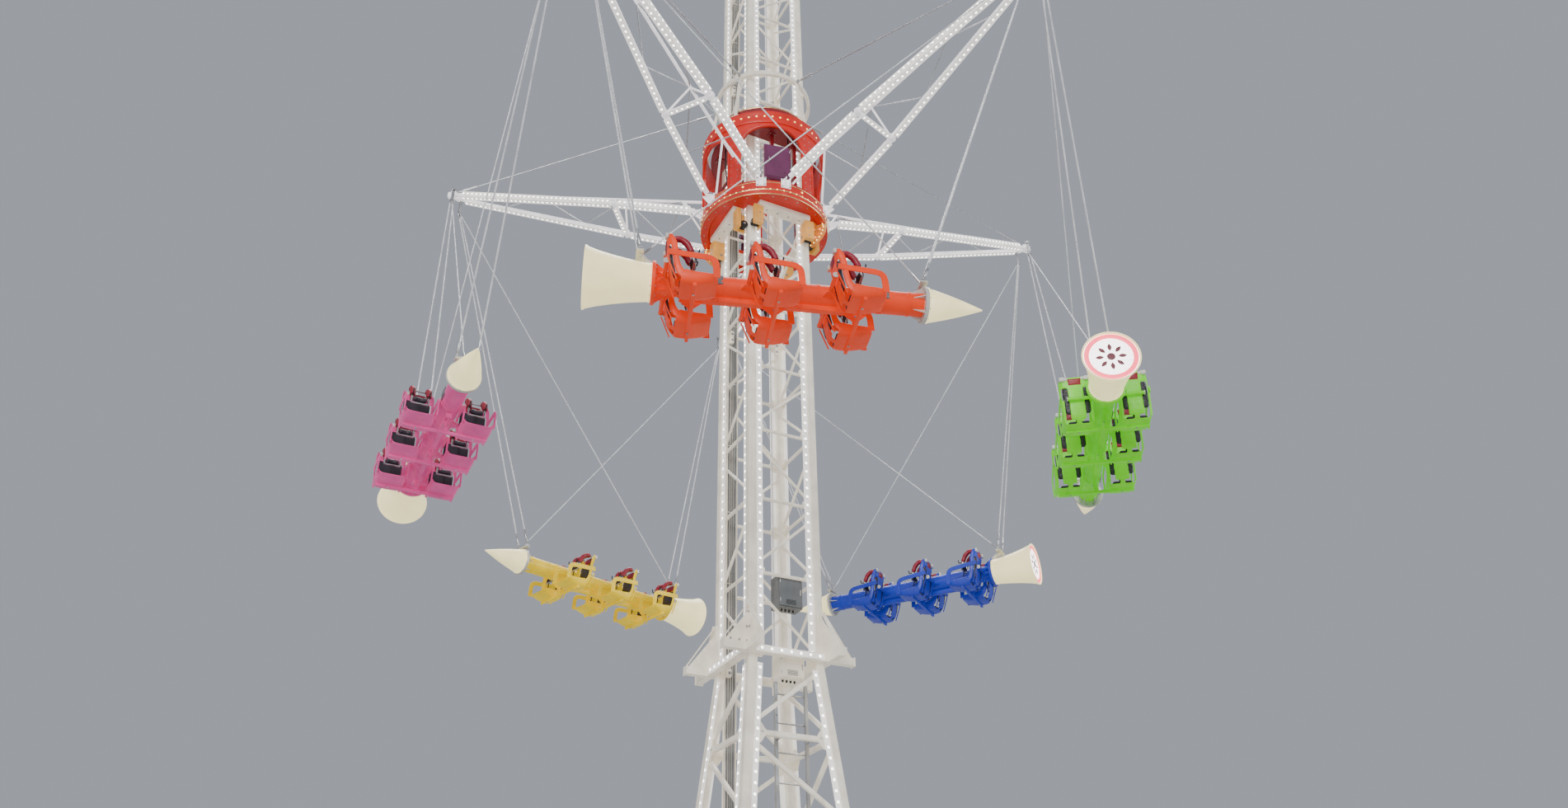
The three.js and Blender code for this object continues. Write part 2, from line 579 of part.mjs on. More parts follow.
// One seat about its own middle: a bent shell, an arm loop on each side, and a shoulder restraint.
const SHELL_LINE = [
  [330, -350], [250, -410], [-120, -455], [-300, -390], [-400, 320], [-345, 330], [-250, -340], [-120, -395],
  [290, -340],
];
const RESTRAINT_LINE = [
  [-385, 320], [-190, 345], [-60, 235], [40, -40], [-20, -60], [-105, 205], [-205, 290], [-385, 270],
];
function seat() {
  const parts = [plate(SHELL_LINE, SEAT_WIDTH, 0), plate(RESTRAINT_LINE, 300, 0)];
  for (const side of [-1, 1]) {
    const y = side * (SEAT_WIDTH / 2 - 10);
    const across = at(0, 1, 0);
    parts.push(bar(at(-350, y, 15), at(285, y, -45), ...ARM_LOOP, across));
    parts.push(bar(at(255, y, -10), at(275, y, -350), ...ARM_LOOP, across));
  }
  return join(parts);
}

// The six seats of a gondola on three cross bars, which a keel ties together below the boom.
function gondolaSeats(name, material) {
  const parts = [];
  for (const side of [-1, 1]) {
    for (const row of SEAT_ROWS) {
      const place = inGondola(row, side * SEAT_OFFSET, 0);
      parts.push(seat().translate([place.x, place.y, place.z]));
    }
  }
  const keelTop = -BOOM_R - FIT;
  const keelZ = keelTop - KEEL_WIDTH / 2;
  const keelEnds = [SEAT_ROWS[0] - 150, SEAT_ROWS[2] + 150].map((x) => inGondola(x, 0, keelZ));
  parts.push(bar(...keelEnds, KEEL_WIDTH));
  const reach = SEAT_OFFSET + SEAT_WIDTH / 2 - 50;
  for (const row of SEAT_ROWS) {
    parts.push(bar(inGondola(row, -reach, CROSS_BAR_Z), inGondola(row, reach, CROSS_BAR_Z), 50));
    parts.push(bar(inGondola(row, 0, keelZ), inGondola(row, 0, CROSS_BAR_Z), KEEL_WIDTH - 20));
  }
  const tubes = SEAT_ROWS.map((row) => {
    const x = row + SEAT_TUBE_X;
    return rod(inGondola(x, -1000, SEAT_TUBE_Z), inGondola(x, 1000, SEAT_TUBE_Z), 30 + FIT, 6);
  });
  return piece(name, join(parts).subtract(join(tubes)), material);
}

// Cables of a gondola: an eye on each arm's pin, a pair down to the near lug and one long
// diagonal to the far lug, each with a tie bar at the lugs.
function gondolaCables(name) {
  const hangZ = ROOT_Z + TIP_RISE - BOOM_Z;
  const parts = [];
  const holes = [];
  for (const [end, near, far] of [[-1, TAIL_LUG, NOSE_LUG], [1, NOSE_LUG, TAIL_LUG]]) {
    const hangX = end * HANG_X + TRAIL;
    const eye = (y, z) => inGondola(hangX, y, hangZ + z);
    const lug = ([x, z], y) => inGondola(x, y, z - 10);
    const side = at(1, 0, 0);
    const disc = new THREE.CylinderGeometry(52, 52, 36, 8).rotateZ(Math.PI / 2);
    parts.push(solid(disc, new THREE.Matrix4().setPosition(eye(0, 0))));
    parts.push(bar(eye(0, -30), eye(0, -330), 36, 70, side));
    const boreR = EYE_R / Math.cos(Math.PI / 8);
    const bore = new THREE.CylinderGeometry(boreR, boreR, 80, 8);
    holes.push(solid(bore.rotateZ(Math.PI / 2), new THREE.Matrix4().setPosition(eye(0, 0))));
    for (const y of [-CABLE_SPREAD, CABLE_SPREAD])
      parts.push(rod(eye(Math.sign(y) * 12, -300), lug(near, y), CABLE_R, 4));
    parts.push(rod(eye(end * 22, -280), lug(far, end * 40), DIAGONAL_R, 4));
    parts.push(block(lug(near, 0), 70, 2 * CABLE_SPREAD + 60, 30));
  }
  return piece(name, join(parts).subtract(join(holes)), paint.steel);
}

const ride = new THREE.Group();
ride.add(groundFrame(), baseLattice(), collarFrame(), accessLadder(), hoistRope(), winch());
ride.add(barBox("collar_cabinet", [COLLAR_Z - 330, COLLAR_Z + 60], paint.white));
ride.add(barBox("mast_control_box", [COLLAR_Z + BAY - 500, COLLAR_Z + BAY + 50], paint.steel));
for (let i = 0; i < 4; i++) ride.add(outrigger(`outrigger_${i + 1}`, Math.PI / 4 + (i * Math.PI) / 2));
["lower", "middle", "upper"].forEach((place, i) =>
  ride.add(mastSection(`mast_${place}_section`, i)));
ride.add(mastHead(), headSheave(), topBeacon());
ride.add(carriageCage());
for (let i = 0; i < 4; i++) ride.add(rollerUnit(`guide_roller_unit_${i + 1}`, (i * Math.PI) / 2));
ride.add(headRing(), headShell(), stayRing());
for (let i = 0; i < ARM_COUNT; i++) ride.add(arm(`arm_${i + 1}`, i * ARM_STEP));

// The gondola between arm 1 and arm 2 comes first, then on round the ring.
["blue", "yellow", "pink", "red", "green"].forEach((colour, i) => {
  const group = new THREE.Group();
  group.rotation.z = HALF_STEP + i * ARM_STEP + Math.PI / 2;
  const material = paint[colour === "red" ? "orange" : colour];
  group.add(gondolaFrame(`${colour}_gondola_boom`, material));
  group.add(noseCone(`${colour}_gondola_nose`));
  group.add(tailCone(`${colour}_gondola_tail`));
  group.add(gondolaSeats(`${colour}_gondola_seats`, material));
  group.add(gondolaCables(`${colour}_gondola_cables`));
  ride.add(group);
});

export default ride;
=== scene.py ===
"""Looks of a tower chair swing ride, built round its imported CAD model.

Metres, +Z up, in the same frame as the CAD. The origin is on the ground under the mast.
"""

import json
import math
from math import cos, pi, radians, sin

import bpy
from mathutils import Matrix, Vector


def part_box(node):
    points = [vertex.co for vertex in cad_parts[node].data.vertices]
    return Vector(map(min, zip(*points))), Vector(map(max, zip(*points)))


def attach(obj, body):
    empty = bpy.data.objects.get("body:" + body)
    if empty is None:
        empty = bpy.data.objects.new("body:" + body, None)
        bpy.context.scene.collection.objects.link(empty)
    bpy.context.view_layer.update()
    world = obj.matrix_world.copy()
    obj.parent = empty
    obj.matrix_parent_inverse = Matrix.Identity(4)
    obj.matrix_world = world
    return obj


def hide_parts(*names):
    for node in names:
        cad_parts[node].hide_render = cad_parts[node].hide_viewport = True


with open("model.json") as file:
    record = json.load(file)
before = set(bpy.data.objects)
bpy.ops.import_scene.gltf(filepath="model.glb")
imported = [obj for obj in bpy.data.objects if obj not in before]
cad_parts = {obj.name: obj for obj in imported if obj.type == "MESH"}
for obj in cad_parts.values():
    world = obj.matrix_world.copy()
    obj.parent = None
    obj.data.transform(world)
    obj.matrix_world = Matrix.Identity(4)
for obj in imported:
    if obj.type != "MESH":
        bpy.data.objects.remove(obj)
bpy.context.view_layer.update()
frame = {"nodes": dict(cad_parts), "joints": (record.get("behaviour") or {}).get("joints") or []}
joints = {joint["name"]: joint for joint in frame["joints"]}

# Mast and base, read from the frame where it says them
MAST_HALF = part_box("mast_lower_section")[1].x
CHORD = 0.15
OUTRIGGER_REACH = 4.7
CHAMFER = 0.014  # of the chords and legs
CHORD_AXIS = MAST_HALF - CHORD / 2
CHORD_FACE = CHORD_AXIS - CHORD / 2  # the side of a chord that faces its neighbour
BASE_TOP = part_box("base_lattice")[1].z
FRAME_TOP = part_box("ground_frame")[1].z
FRAME_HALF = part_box("ground_frame")[1].x
MAST_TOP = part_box("mast_upper_section")[1].z
BAY = 1.35
FIRST_LEVEL = 0.1
BAYS = 5
LEG_FOOT = 1.31
BASE_LEVELS = [1.0, 2.29, 3.58, 4.87, 6.16]
BASE_BAR = 0.084

# Turning head and arms
ROOT_Z = joints["head_spin"]["pos_m"][2]
RING_LOW, RING_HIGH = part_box("head_lower_ring")[0].z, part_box("head_lower_ring")[1].z
HEAD_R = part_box("head_lower_ring")[1].x
SHELL_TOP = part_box("head_shell")[1].z
PLATE_TOP = ROOT_Z - 0.26  # the carriage's lower plate
UPPER_PLATE = ROOT_Z + 1.64  # the top of the upper one
HOLE_HALF = 0.7
DRIVE_R = 0.86
CABINET_TURN = radians(-101)
STAY_RING_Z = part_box("stay_ring")[1].z - 0.06
STAY_RING_R = 1.055
ARMS = 5
STEP = 2 * pi / ARMS
TIP_R = 7.02
TIP_Z = joints["blue_gondola_swing"]["pos_m"][2]
KNEE_R = 3.06
ROOT_R = 1.252
ROOT_HALF = 0.6
KNEE_HALF = 0.494
TIP_HALF = 0.05
TOP_RISE = 0.75
HANG_OUT = 0.245

# Gondolas
COLOURS = ["blue", "yellow", "pink", "red", "green"]
CHORD_R = TIP_R * cos(STEP / 2)
HANG_X = TIP_R * sin(STEP / 2) - HANG_OUT
BOOM_Z = ROOT_Z - 6.1
TRAIL = 0.505
BOOM_R = 0.165
TAIL_X = -1.88
NOSE_X = 1.85
TAIL_FLANGE_R = 0.295
NOSE_FLANGE_R = 0.262
TAIL_LUG = (-2.05, 0.455)
NOSE_LUG = (1.82, 0.33)
CABLE_SPREAD = 0.15
SEAT_ROWS = [-1.35, -0.25, 0.85]
SEAT_OFFSET = 0.435
SEAT_HALF = 0.24

X, Y, Z = Vector((1, 0, 0)), Vector((0, 1, 0)), Vector((0, 0, 1))
CORNERS = [(1, 1), (-1, 1), (-1, -1), (1, -1)]


def turned(angle):
    """Turn about the mast's axis, in radians."""
    return Matrix.Rotation(angle, 4, "Z")


def basis(origin, across, deep, up):
    """Matrix whose local X, Y and Z run along three directions from an origin."""
    matrix = Matrix((across, deep, up)).transposed().to_4x4()
    matrix.translation = Vector(origin)
    return matrix


def circle(count, shift=0.0):
    """So many equal angles round a full turn, moved on by a part of one step."""
    return [2 * pi * (k + shift) / count for k in range(count)]


def polar(radius, angle, z=0.0):
    """Point at a radius and an angle about the mast's axis."""
    return Vector((radius * cos(angle), radius * sin(angle), z))


def spoke(angle):
    """Unit direction away from a boom's axis at an angle round it."""
    return Vector((0, cos(angle), sin(angle)))


def quarters(*shapes):
    """Turn the shapes to each side of the mast in its turn."""
    for k in range(4):
        for shape in shapes:
            shape.matrix = turned(k * pi / 2)
        yield k


def square(half, other=None):
    """Corners of a rectangle about the middle, from its half sizes."""
    other = half if other is None else other
    return [(-half, -other), (half, -other), (half, other), (-half, other)]


def chamfered(a, b, c):
    """Outline of a rectangle of half sizes a and b whose corners are cut by c."""
    half = [(a, c - b), (a, b - c), (a - c, b), (c - a, b)]
    return half + [(-u, -v) for u, v in half]


def facing(start, end, side=None):
    """Unit directions across and deep for a section that runs from start to end."""
    axis = (end - start).normalized()
    across = (side or Z.cross(axis)).copy()
    if across.length < 1e-5:
        across = X.copy()
    across = (across - axis * across.dot(axis)).normalized()
    return across, axis.cross(across), axis


def standing(point, axis):
    """Placing matrix for a piece that stands at a point and faces along an axis."""
    point = Vector(point)
    return basis(point, *facing(point, point + Vector(axis)))


def smooth_line(points, steps):
    """Catmull-Rom curve through points, with so many steps between each two."""
    pts = [Vector(p) for p in points]
    ends = [2 * pts[0] - pts[1], *pts, 2 * pts[-1] - pts[-2]]
    line = []
    for a, b, c, d in zip(ends, ends[1:], ends[2:], ends[3:]):
        for i in range(steps):
            t = i / steps
            line.append(0.5 * (2 * b + (c - a) * t + (2 * a - 5 * b + 4 * c - d) * t * t
                               + (3 * b - a - 3 * c + d) * t ** 3))
    return [*line, pts[-1]]


def linked(name, data):
    """New object in the scene."""
    made = bpy.data.objects.new(name, data)
    bpy.context.scene.collection.objects.link(made)
    return made


def mesh_object(name, points, faces, materials=()):
    """New mesh in the scene, with its materials in order."""
    mesh = bpy.data.meshes.new(name)
    mesh.from_pydata(points, [], faces)
    for material in materials:
        mesh.materials.append(material)
    return linked(name, mesh)


CHAMFER_SHARE = 0.12  # of the smallest size, where a bar or block states no chamfer


class Shape:
    """Gathers vertices and faces of one piece, and makes the object."""

    def __init__(self, matrix=Matrix.Identity(4)):
        self.points, self.faces, self.slots = [], [], []
        self.matrix = matrix

    def add(self, points, faces, slot=0):
        """More points, through the shape's own matrix, and faces that count from the first of them."""
        first = len(self.points)
        self.points += [self.matrix @ Vector(p) for p in points]
        self.faces += [[first + i for i in face] for face in faces]
        self.slots += [slot] * len(faces)

    def rings(self, rings, slot=0, closed=False):
        """Skin over rings of equal count, each a closed loop of points."""
        count = len(rings[0])
        pairs = list(zip(range(len(rings)), range(1, len(rings))))
        if closed:
            pairs.append((len(rings) - 1, 0))
        faces = [[a * count + i, a * count + (i + 1) % count, b * count + (i + 1) % count, b * count + i]
                 for a, b in pairs for i in range(count)]
        if not closed:
            faces.append(list(range(count))[::-1])
            faces.append([(len(rings) - 1) * count + i for i in range(count)])
        self.add([p for ring in rings for p in ring], faces, slot)

    def tube(self, path, radius, sides=8, slot=0, closed=False):
        """Round tube along a path. radius is one number, or one for each point."""
        pts = [Vector(p) for p in path]
        radii = radius if hasattr(radius, "__len__") else [radius] * len(pts)
        across = None
        rings = []
        for i, (point, r) in enumerate(zip(pts, radii)):
            before = pts[i - 1] if i or closed else pts[0]
            after = pts[(i + 1) % len(pts)] if i + 1 < len(pts) or closed else pts[-1]
            if across is None:
                across, deep, axis = facing(before, after)
            else:
                axis = (after - before).normalized()
                across = (across - axis * across.dot(axis)).normalized()
                deep = axis.cross(across)
            rings.append([point + r * (across * cos(t) + deep * sin(t)) for t in circle(sides)])
        self.rings(rings, slot, closed=closed)

    def bar(self, start, end, width, depth=None, slot=0, side=None, chamfer=None):
        """Straight bar of a rectangular section with chamfered edges."""
        start, end = Vector(start), Vector(end)
        depth = depth or width
        across, deep, _ = facing(start, end, side)
        chamfer = min(width, depth) * CHAMFER_SHARE if chamfer is None else chamfer
        outline = chamfered(width / 2, depth / 2, chamfer)
        self.rings([[p + across * u + deep * v for u, v in outline] for p in (start, end)], slot)

    def rod(self, centre, half, radius, sides=8, slot=0):
        """Round bar that reaches half a length to both sides of its centre."""
        centre, half = Vector(centre), Vector(half)
        self.tube([centre - half, centre + half], radius, sides, slot)

    def stem(self, foot, way, stops, sides, slot=0):
        """Turned rod from a foot: its radius at distances along a direction."""
        self.tube([foot + way * t for t, _ in stops], [r for _, r in stops], sides, slot)

    def block(self, centre, size, slot=0, chamfer=None):
        """Box with chamfered upright edges and a small chamfer above and below."""
        w, d, h = (s / 2 for s in size)
        c = min(size) * CHAMFER_SHARE if chamfer is None else chamfer
        move = Matrix.Translation(centre)
        rings = []
        for z, inset in ((-h, c), (c - h, 0), (h - c, 0), (h, c)):
            outline = chamfered(w - inset, d - inset, max(c - inset, c * 0.3))
            rings.append([move @ Vector((u, v, z)) for u, v in outline])
        self.rings(rings, slot)

    def lathe(self, profile, place, sides=32, slot=0, closed=False):
        """Turned body: [radius, height] points about local Z of a placing matrix."""
        rings = [[place @ polar(r, t, z) for t in circle(sides)] for r, z in profile]
        self.rings(rings, slot, closed=closed)

    def slab(self, outline, thick, place, slot=0, chamfer=0.002):
        """Flat convex plate: an outline in local XY made thick along local Z, edges chamfered."""
        middle = sum((Vector(p) for p in outline), Vector((0, 0))) / len(outline)
        face = thick / 2
        rings = []
        for z, inset in ((-face, chamfer), (chamfer - face, 0), (face - chamfer, 0), (face, chamfer)):
            ring = []
            for p in outline:
                out = Vector(p) - middle
                q = middle + out * max(0.0, 1 - inset / max(out.length, 1e-6))
                ring.append(place @ Vector((q.x, q.y, z)))
            rings.append(ring)
        self.rings(rings, slot)

    def bolt(self, point, axis, radius, slot=0):
        """Washer and hexagon head that stand on a surface."""
        place = standing(point, axis)
        self.lathe([(radius * 1.5, -0.001), (radius * 1.5, radius * 0.25)], place, 8, slot)
        self.lathe([(radius, 0), (radius, radius * 0.8), (radius * 0.8, radius)], place, 6, slot)

    def bolts(self, place, spots, axis, radius):
        """Bolts at local points of a placing matrix."""
        for spot in spots:
            self.bolt(place @ Vector(spot), axis, radius, 1)

    def lamp(self, point, axis, radius, rise, rim, glow, sides=8):
        """Round lamp cap: a collar and a low dome."""
        place = standing(point, axis)
        collar = [(radius * 1.15, -0.002), (radius * 1.1, rise * 0.35), (radius, rise * 0.4)]
        dome = [(radius, rise * 0.3), (radius * 0.72, rise * 0.85), (radius * 0.2, rise)]
        self.lathe(collar, place, sides, rim)
        self.lathe(dome, place, sides, glow)

    def make(self, name, body, materials, finish, *nodes, sharp=35, modifiers=()):
        """The object, which rides on a body; its finish argument is not used."""
        piece = mesh_object(name, self.points, self.faces, materials)
        piece.data.polygons.foreach_set("material_index", self.slots)
        piece.data.polygons.foreach_set("use_smooth", [True] * len(self.faces))
        piece.data.set_sharp_from_angle(angle=radians(sharp))
        for kind, values in modifiers:
            modifier = piece.modifiers.new(kind.title(), kind)
            for key, value in values.items():
                setattr(modifier, key, value)
        if modifiers:
            seen = piece.evaluated_get(bpy.context.evaluated_depsgraph_get())
            final = bpy.data.meshes.new_from_object(seen)
            piece.modifiers.clear()
            piece.data = final
        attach(piece, body)
        if nodes:
            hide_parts(*nodes)
        return piece


# Materials


def surface(name, colour, rough=0.4, metal=0.0, grain=60.0, bump=0.05, grime=0.25, streak=0.3,
            coat=0.0, glow=0.0, glow_colour=None, weave=0.0):
    """Procedural finish: patchy colour, dirt that runs down in streaks, uneven gloss and a fine relief;
    where glow is given, an even emission: a lamp's own light, or on paint, rope and glass fibre a painted
    glow that stands for lamp light falling on it.
    """
    made = bpy.data.materials.new(name)
    made.use_nodes = True
    nodes, links = made.node_tree.nodes, made.node_tree.links
    shader = nodes["Principled BSDF"]
    place = nodes.new("ShaderNodeTexCoord").outputs["Object"]

    def node(kind, **values):
        new = nodes.new(f"ShaderNode{kind}")
        for key, value in values.items():
            new.inputs[key].default_value = value
        return new

    def noise(scale, stretch=(1, 1, 1), detail=4.0):
        mapping = node("Mapping", Scale=stretch)
        texture = node("TexNoise", Scale=scale, Detail=detail)
        links.new(place, mapping.inputs["Vector"])
        links.new(mapping.outputs["Vector"], texture.inputs["Vector"])
        return texture.outputs["Fac"]

    def spread(value, low, high, to_low, to_high):
        ranged = node("MapRange")
        for socket, number in zip(ranged.inputs[1:5], (low, high, to_low, to_high)):
            socket.default_value = number
        links.new(value, ranged.inputs["Value"])
        return ranged.outputs["Result"]

    def blend(fraction, first, second):
        mix = node("Mix")
        mix.data_type = "RGBA"
        links.new(fraction, mix.inputs["Factor"])
        for socket, value in ((mix.inputs["A"], first), (mix.inputs["B"], second)):
            if hasattr(value, "links"):
                links.new(value, socket)
            else:
                socket.default_value = (*value, 1)
        return mix.outputs["Result"]

    dark = [c * 0.72 for c in colour]
    dirt = [0.35 * c + 0.03 for c in colour]
    tone = blend(spread(noise(3.0), 0.35, 0.7, 0.0, 1.0), colour, dark)
    runs = spread(noise(9.0, (1.0, 1.0, 0.12), 6.0), 0.52, 0.78, 0.0, streak)
    tone = blend(runs, tone, dirt)
    specks = spread(noise(grain * 1.5, detail=2.0), 0.62, 0.72, 0.0, grime)
    tone = blend(specks, tone, dirt)
    links.new(tone, shader.inputs["Base Color"])
    links.new(spread(noise(14.0), 0.3, 0.7, max(rough - 0.1, 0.05), min(rough + 0.15, 1.0)),
              shader.inputs["Roughness"])
    relief = node("Bump", Strength=bump, Distance=0.004)
    height = noise(grain)
    if weave:
        wave = node("TexWave", Scale=weave)
        wave.bands_direction = "Z"
        links.new(place, wave.inputs["Vector"])
        height = wave.outputs["Fac"]
    links.new(height, relief.inputs["Height"])
    links.new(relief.outputs["Normal"], shader.inputs["Normal"])
    values = {"Metallic": metal, "Coat Weight": coat, "Coat Roughness": 0.15}
    # Emission: on lamps their own light; on paints, rope and glass fibre it is painted light, an even glow
    # that stands for the ride's lamps shining on them.
    if glow:
        values |= {"Emission Color": (*(glow_colour or colour), 1), "Emission Strength": glow}
    for key, value in values.items():
        shader.inputs[key].default_value = value
    return made


# Painted light: the white paint glows a little in a warm colour, standing for the mast's lamps lighting it.
WHITE = surface("white_paint", (0.86, 0.81, 0.71), 0.35, coat=0.3, grime=0.3, glow=0.26,
                glow_colour=(1.0, 0.88, 0.68))
LAMP = surface("lamp_white", (0.95, 0.94, 0.9), 0.2, glow=4.5, glow_colour=(1.0, 0.98, 0.95), streak=0.0)
LAMP_RIM = surface("lamp_collar", (0.45, 0.45, 0.44), 0.35, 0.2)
# Painted light: the lamp boards glow as if lit by their own lamps, though the boards are no lamps.
BOARD = surface("lamp_board", (0.86, 0.85, 0.83), 0.4, 0.1, glow=0.7, glow_colour=(1.0, 0.96, 0.9))
WARM_LAMP = surface("lamp_warm", (0.98, 0.72, 0.25), 0.2, glow=3.0, glow_colour=(1.0, 0.62, 0.16), streak=0.0)
RED_LAMP = surface("lamp_red", (0.9, 0.2, 0.1), 0.2, glow=2.2, glow_colour=(1.0, 0.22, 0.08), streak=0.0)
# Painted light: the arms' paint glows, standing for the light of their lamp boards falling on it.
ARM_WHITE = surface("lit_arm_paint", (0.9, 0.88, 0.88), 0.35, coat=0.3, grime=0.2, glow=0.65,
                    glow_colour=(1.0, 0.94, 0.96), streak=0.15)
# Painted light: the brackets' orange paint glows a little, standing for warm lamp light on it.
WARM_PAINT = surface("light_orange_paint", (0.8, 0.36, 0.07), 0.4, coat=0.1, grime=0.35, glow=0.22,
                     glow_colour=(1.0, 0.5, 0.1))
# Painted light: the head's red, deep red and orange paints glow a little, standing for the ride's lamp
# light on them.
RED = surface("red_paint", (0.62, 0.014, 0.006), 0.38, coat=0.1, glow=0.14, glow_colour=(1.0, 0.04, 0.01))
DEEP_RED = surface("deep_red_paint", (0.26, 0.01, 0.018), 0.35, coat=0.25, glow=0.06)
ORANGE = surface("orange_paint", (0.78, 0.2, 0.02), 0.32, coat=0.3, glow=0.25, glow_colour=(1.0, 0.38, 0.05))
GOLD = surface("gold_trim", (0.85, 0.58, 0.25), 0.25, 0.7, coat=0.3)
STEEL = surface("galvanised_steel", (0.56, 0.57, 0.58), 0.35, 0.9, grain=25.0, bump=0.08)
# Painted light: the wire rope glows faintly, standing for lamp light on it.
ROPE = surface("wire_rope", (0.78, 0.78, 0.8), 0.35, 0.35, weave=60.0, bump=0.4, glow=0.12)
BLACK = surface("black_rubber", (0.02, 0.02, 0.022), 0.6, grain=120.0, bump=0.15)
GREY = surface("grey_cabinet_paint", (0.16, 0.17, 0.18), 0.45, coat=0.1)
PLUM = surface("plum_paint", (0.16, 0.03, 0.1), 0.35, coat=0.4)
PALE_STEEL = surface("pale_tube_paint", (0.72, 0.72, 0.66), 0.35, 0.1, coat=0.2)
DISC_MARK = surface("disc_petals", (0.24, 0.05, 0.07), 0.35, streak=0.0)
# Painted light: the cream glass fibre glows strongly in pale yellow, standing for the shells being lit
# through from inside.
CREAM = surface("cream_glass_fibre", (0.86, 0.78, 0.44), 0.34, coat=0.25, grain=18.0, bump=0.03, glow=1.1,
                glow_colour=(1.0, 0.86, 0.42), streak=0.12)
VINYL = surface("dark_vinyl", (0.035, 0.032, 0.045), 0.42, grain=260.0, bump=0.35, streak=0.0, grime=0.1)
MAROON = surface("maroon_vinyl", (0.34, 0.012, 0.035), 0.4, grain=260.0, bump=0.35, streak=0.0, grime=0.1)
DISC = surface("disc_white", (0.93, 0.9, 0.88), 0.25, glow=4.0, glow_colour=(1.0, 0.93, 0.92), streak=0.0)
DISC_RIM = surface("disc_rim", (0.85, 0.08, 0.12), 0.25, glow=2.4, glow_colour=(1.0, 0.1, 0.16), streak=0.0)
# Painted light: each gondola's gloss paint glows a little in its own hue, standing for the ride's lamps
# lighting it.
BODY = {
    "blue": surface("blue_gloss", (0.012, 0.036, 0.46), 0.4, glow=0.1, glow_colour=(0.02, 0.07, 1.0)),
    "yellow": surface("yellow_gloss", (0.92, 0.62, 0.0), 0.4, glow=0.3, glow_colour=(1.0, 0.74, 0.0)),
    "pink": surface("pink_gloss", (0.76, 0.09, 0.32), 0.4, glow=0.22, glow_colour=(1.0, 0.14, 0.42)),
    "red": surface("orange_gloss", (0.84, 0.045, 0.0), 0.4, glow=0.3, glow_colour=(1.0, 0.06, 0.0)),
    "green": surface("green_gloss", (0.16, 0.7, 0.0), 0.4, glow=0.28, glow_colour=(0.18, 1.0, 0.0)),
}


# Camera, light and floor

PHOTO = (1902, 980)
FOCAL_PIXELS = 1363.5
SENSOR = 36.0
EYE_DISTANCE = 17.82  # from the mast's axis
EYE_HEIGHT = 1.6
AZIMUTH = radians(-26.7)
PITCH = radians(31.32)
YAW = radians(1.08)
ROLL = radians(-1.16)


def camera():
    """The photographer's eye: low in front of the ride, looking up."""
    ex = Vector((cos(AZIMUTH), sin(AZIMUTH), 0))
    ey = Vector((-sin(AZIMUTH), cos(AZIMUTH), 0))
    ahead = cos(PITCH) * (sin(YAW) * ex + cos(YAW) * ey) + sin(PITCH) * Z
    right = cos(YAW) * ex - sin(YAW) * ey
    up = right.cross(ahead)
    across = right * cos(ROLL) + up * sin(ROLL)
    above = up * cos(ROLL) - right * sin(ROLL)
    data = bpy.data.cameras.new("camera")
    data.sensor_width = SENSOR
    data.sensor_fit = "HORIZONTAL"
    data.lens = FOCAL_PIXELS / PHOTO[0] * SENSOR
    data.clip_end = 500
    eye = linked("camera", data)
    eye.matrix_world = basis(-EYE_DISTANCE * ey + EYE_HEIGHT * Z, across, above, -ahead)
    bpy.context.scene.camera = eye


def soft_sun(name, towards, strength, colour=(1, 1, 1)):
    """Even light from one side over the whole ride and floor, with soft shadows."""
    data = bpy.data.lights.new(name, "SUN")
    data.energy = strength
    data.angle = radians(35)
    data.color = colour
    linked(name, data).matrix_world = basis(towards, *facing(Vector(), Vector(towards)))


def studio():
    """Pale floor, a soft pale sky and three soft lights."""
    world = bpy.data.worlds.new("studio")
    bpy.context.scene.world = world
    world.use_nodes = True
    back = world.node_tree.nodes["Background"]
    back.inputs["Color"].default_value = (0.36, 0.38, 0.43, 1)
    back.inputs["Strength"].default_value = 1.0
    pale = surface("floor_pale", (0.56, 0.56, 0.55), 0.7, grime=0.0, streak=0.0, bump=0.0)
    ground = mesh_object("floor", [(x, y, -0.004) for x, y in square(400)], [[0, 1, 2, 3]], [pale])
    soft_sun("key", (-22, -26, 8), 2.3, (1.0, 0.98, 0.95))
    soft_sun("fill", (26, -18, 4), 1.4, (0.94, 0.97, 1.0))
    soft_sun("top", (6, 10, 26), 1.6)


camera()
studio()


# Tower

BOARD_PITCH = 0.165  # between lamps on the mast and the base
BOARD_THICK = 0.012
LAMP_R, LAMP_RISE = 0.03, 0.017
BOARD_LOOK = [BOARD, LAMP_RIM, LAMP]


def light_board(shape, start, end, out, width, pitch=BOARD_PITCH, radius=LAMP_R):
    """Shallow channel along a bar with a row of lamp caps that face out."""
    start, end, out = Vector(start), Vector(end), Vector(out).normalized()
    axis = (end - start).normalized()
    side = out.cross(axis)
    shape.bar(start, end, width, BOARD_THICK, 0, side, chamfer=0.002)
    for way in (-1, 1):
        shift = side * way * (width / 2 - 0.004) + out * BOARD_THICK * 0.6
        shape.bar(start + shift, end + shift, 0.008, BOARD_THICK, 0, side, chamfer=0.001)
    length = (end - start).length
    count = max(1, round(length / pitch))
    for i in range(count):
        spot = start + axis * length * (i + 0.5) / count + out * BOARD_THICK / 2
        shape.lamp(spot, out, radius, LAMP_RISE, 1, 2, 6)


def leg_spread(z):
    """Distance along X or Y from the mast's axis to the middle of a base leg."""
    return LEG_FOOT + (CHORD_AXIS - LEG_FOOT) * (z - FRAME_TOP) / (BASE_TOP - FRAME_TOP)


def joint_plate(shape, corner, inward, up, out, reach, height):
    """Gusset where bars meet a chord: a plate with cut corners and four bolts at shares of its sizes."""
    place = basis(corner, inward, up, out)
    outline = [(0, -0.5), (0.55, -0.5), (1, -0.12), (1, 0.12), (0.55, 0.5), (0, 0.5)]
    shape.slab([(reach * u, height * v) for u, v in outline], 0.01, place)
    spots = ((0.2, -0.3), (0.2, 0.3), (0.7, 0.0), (0.45, 0.0))
    shape.bolts(place, [(reach * u, height * v, 0.005) for u, v in spots], out, 0.009)


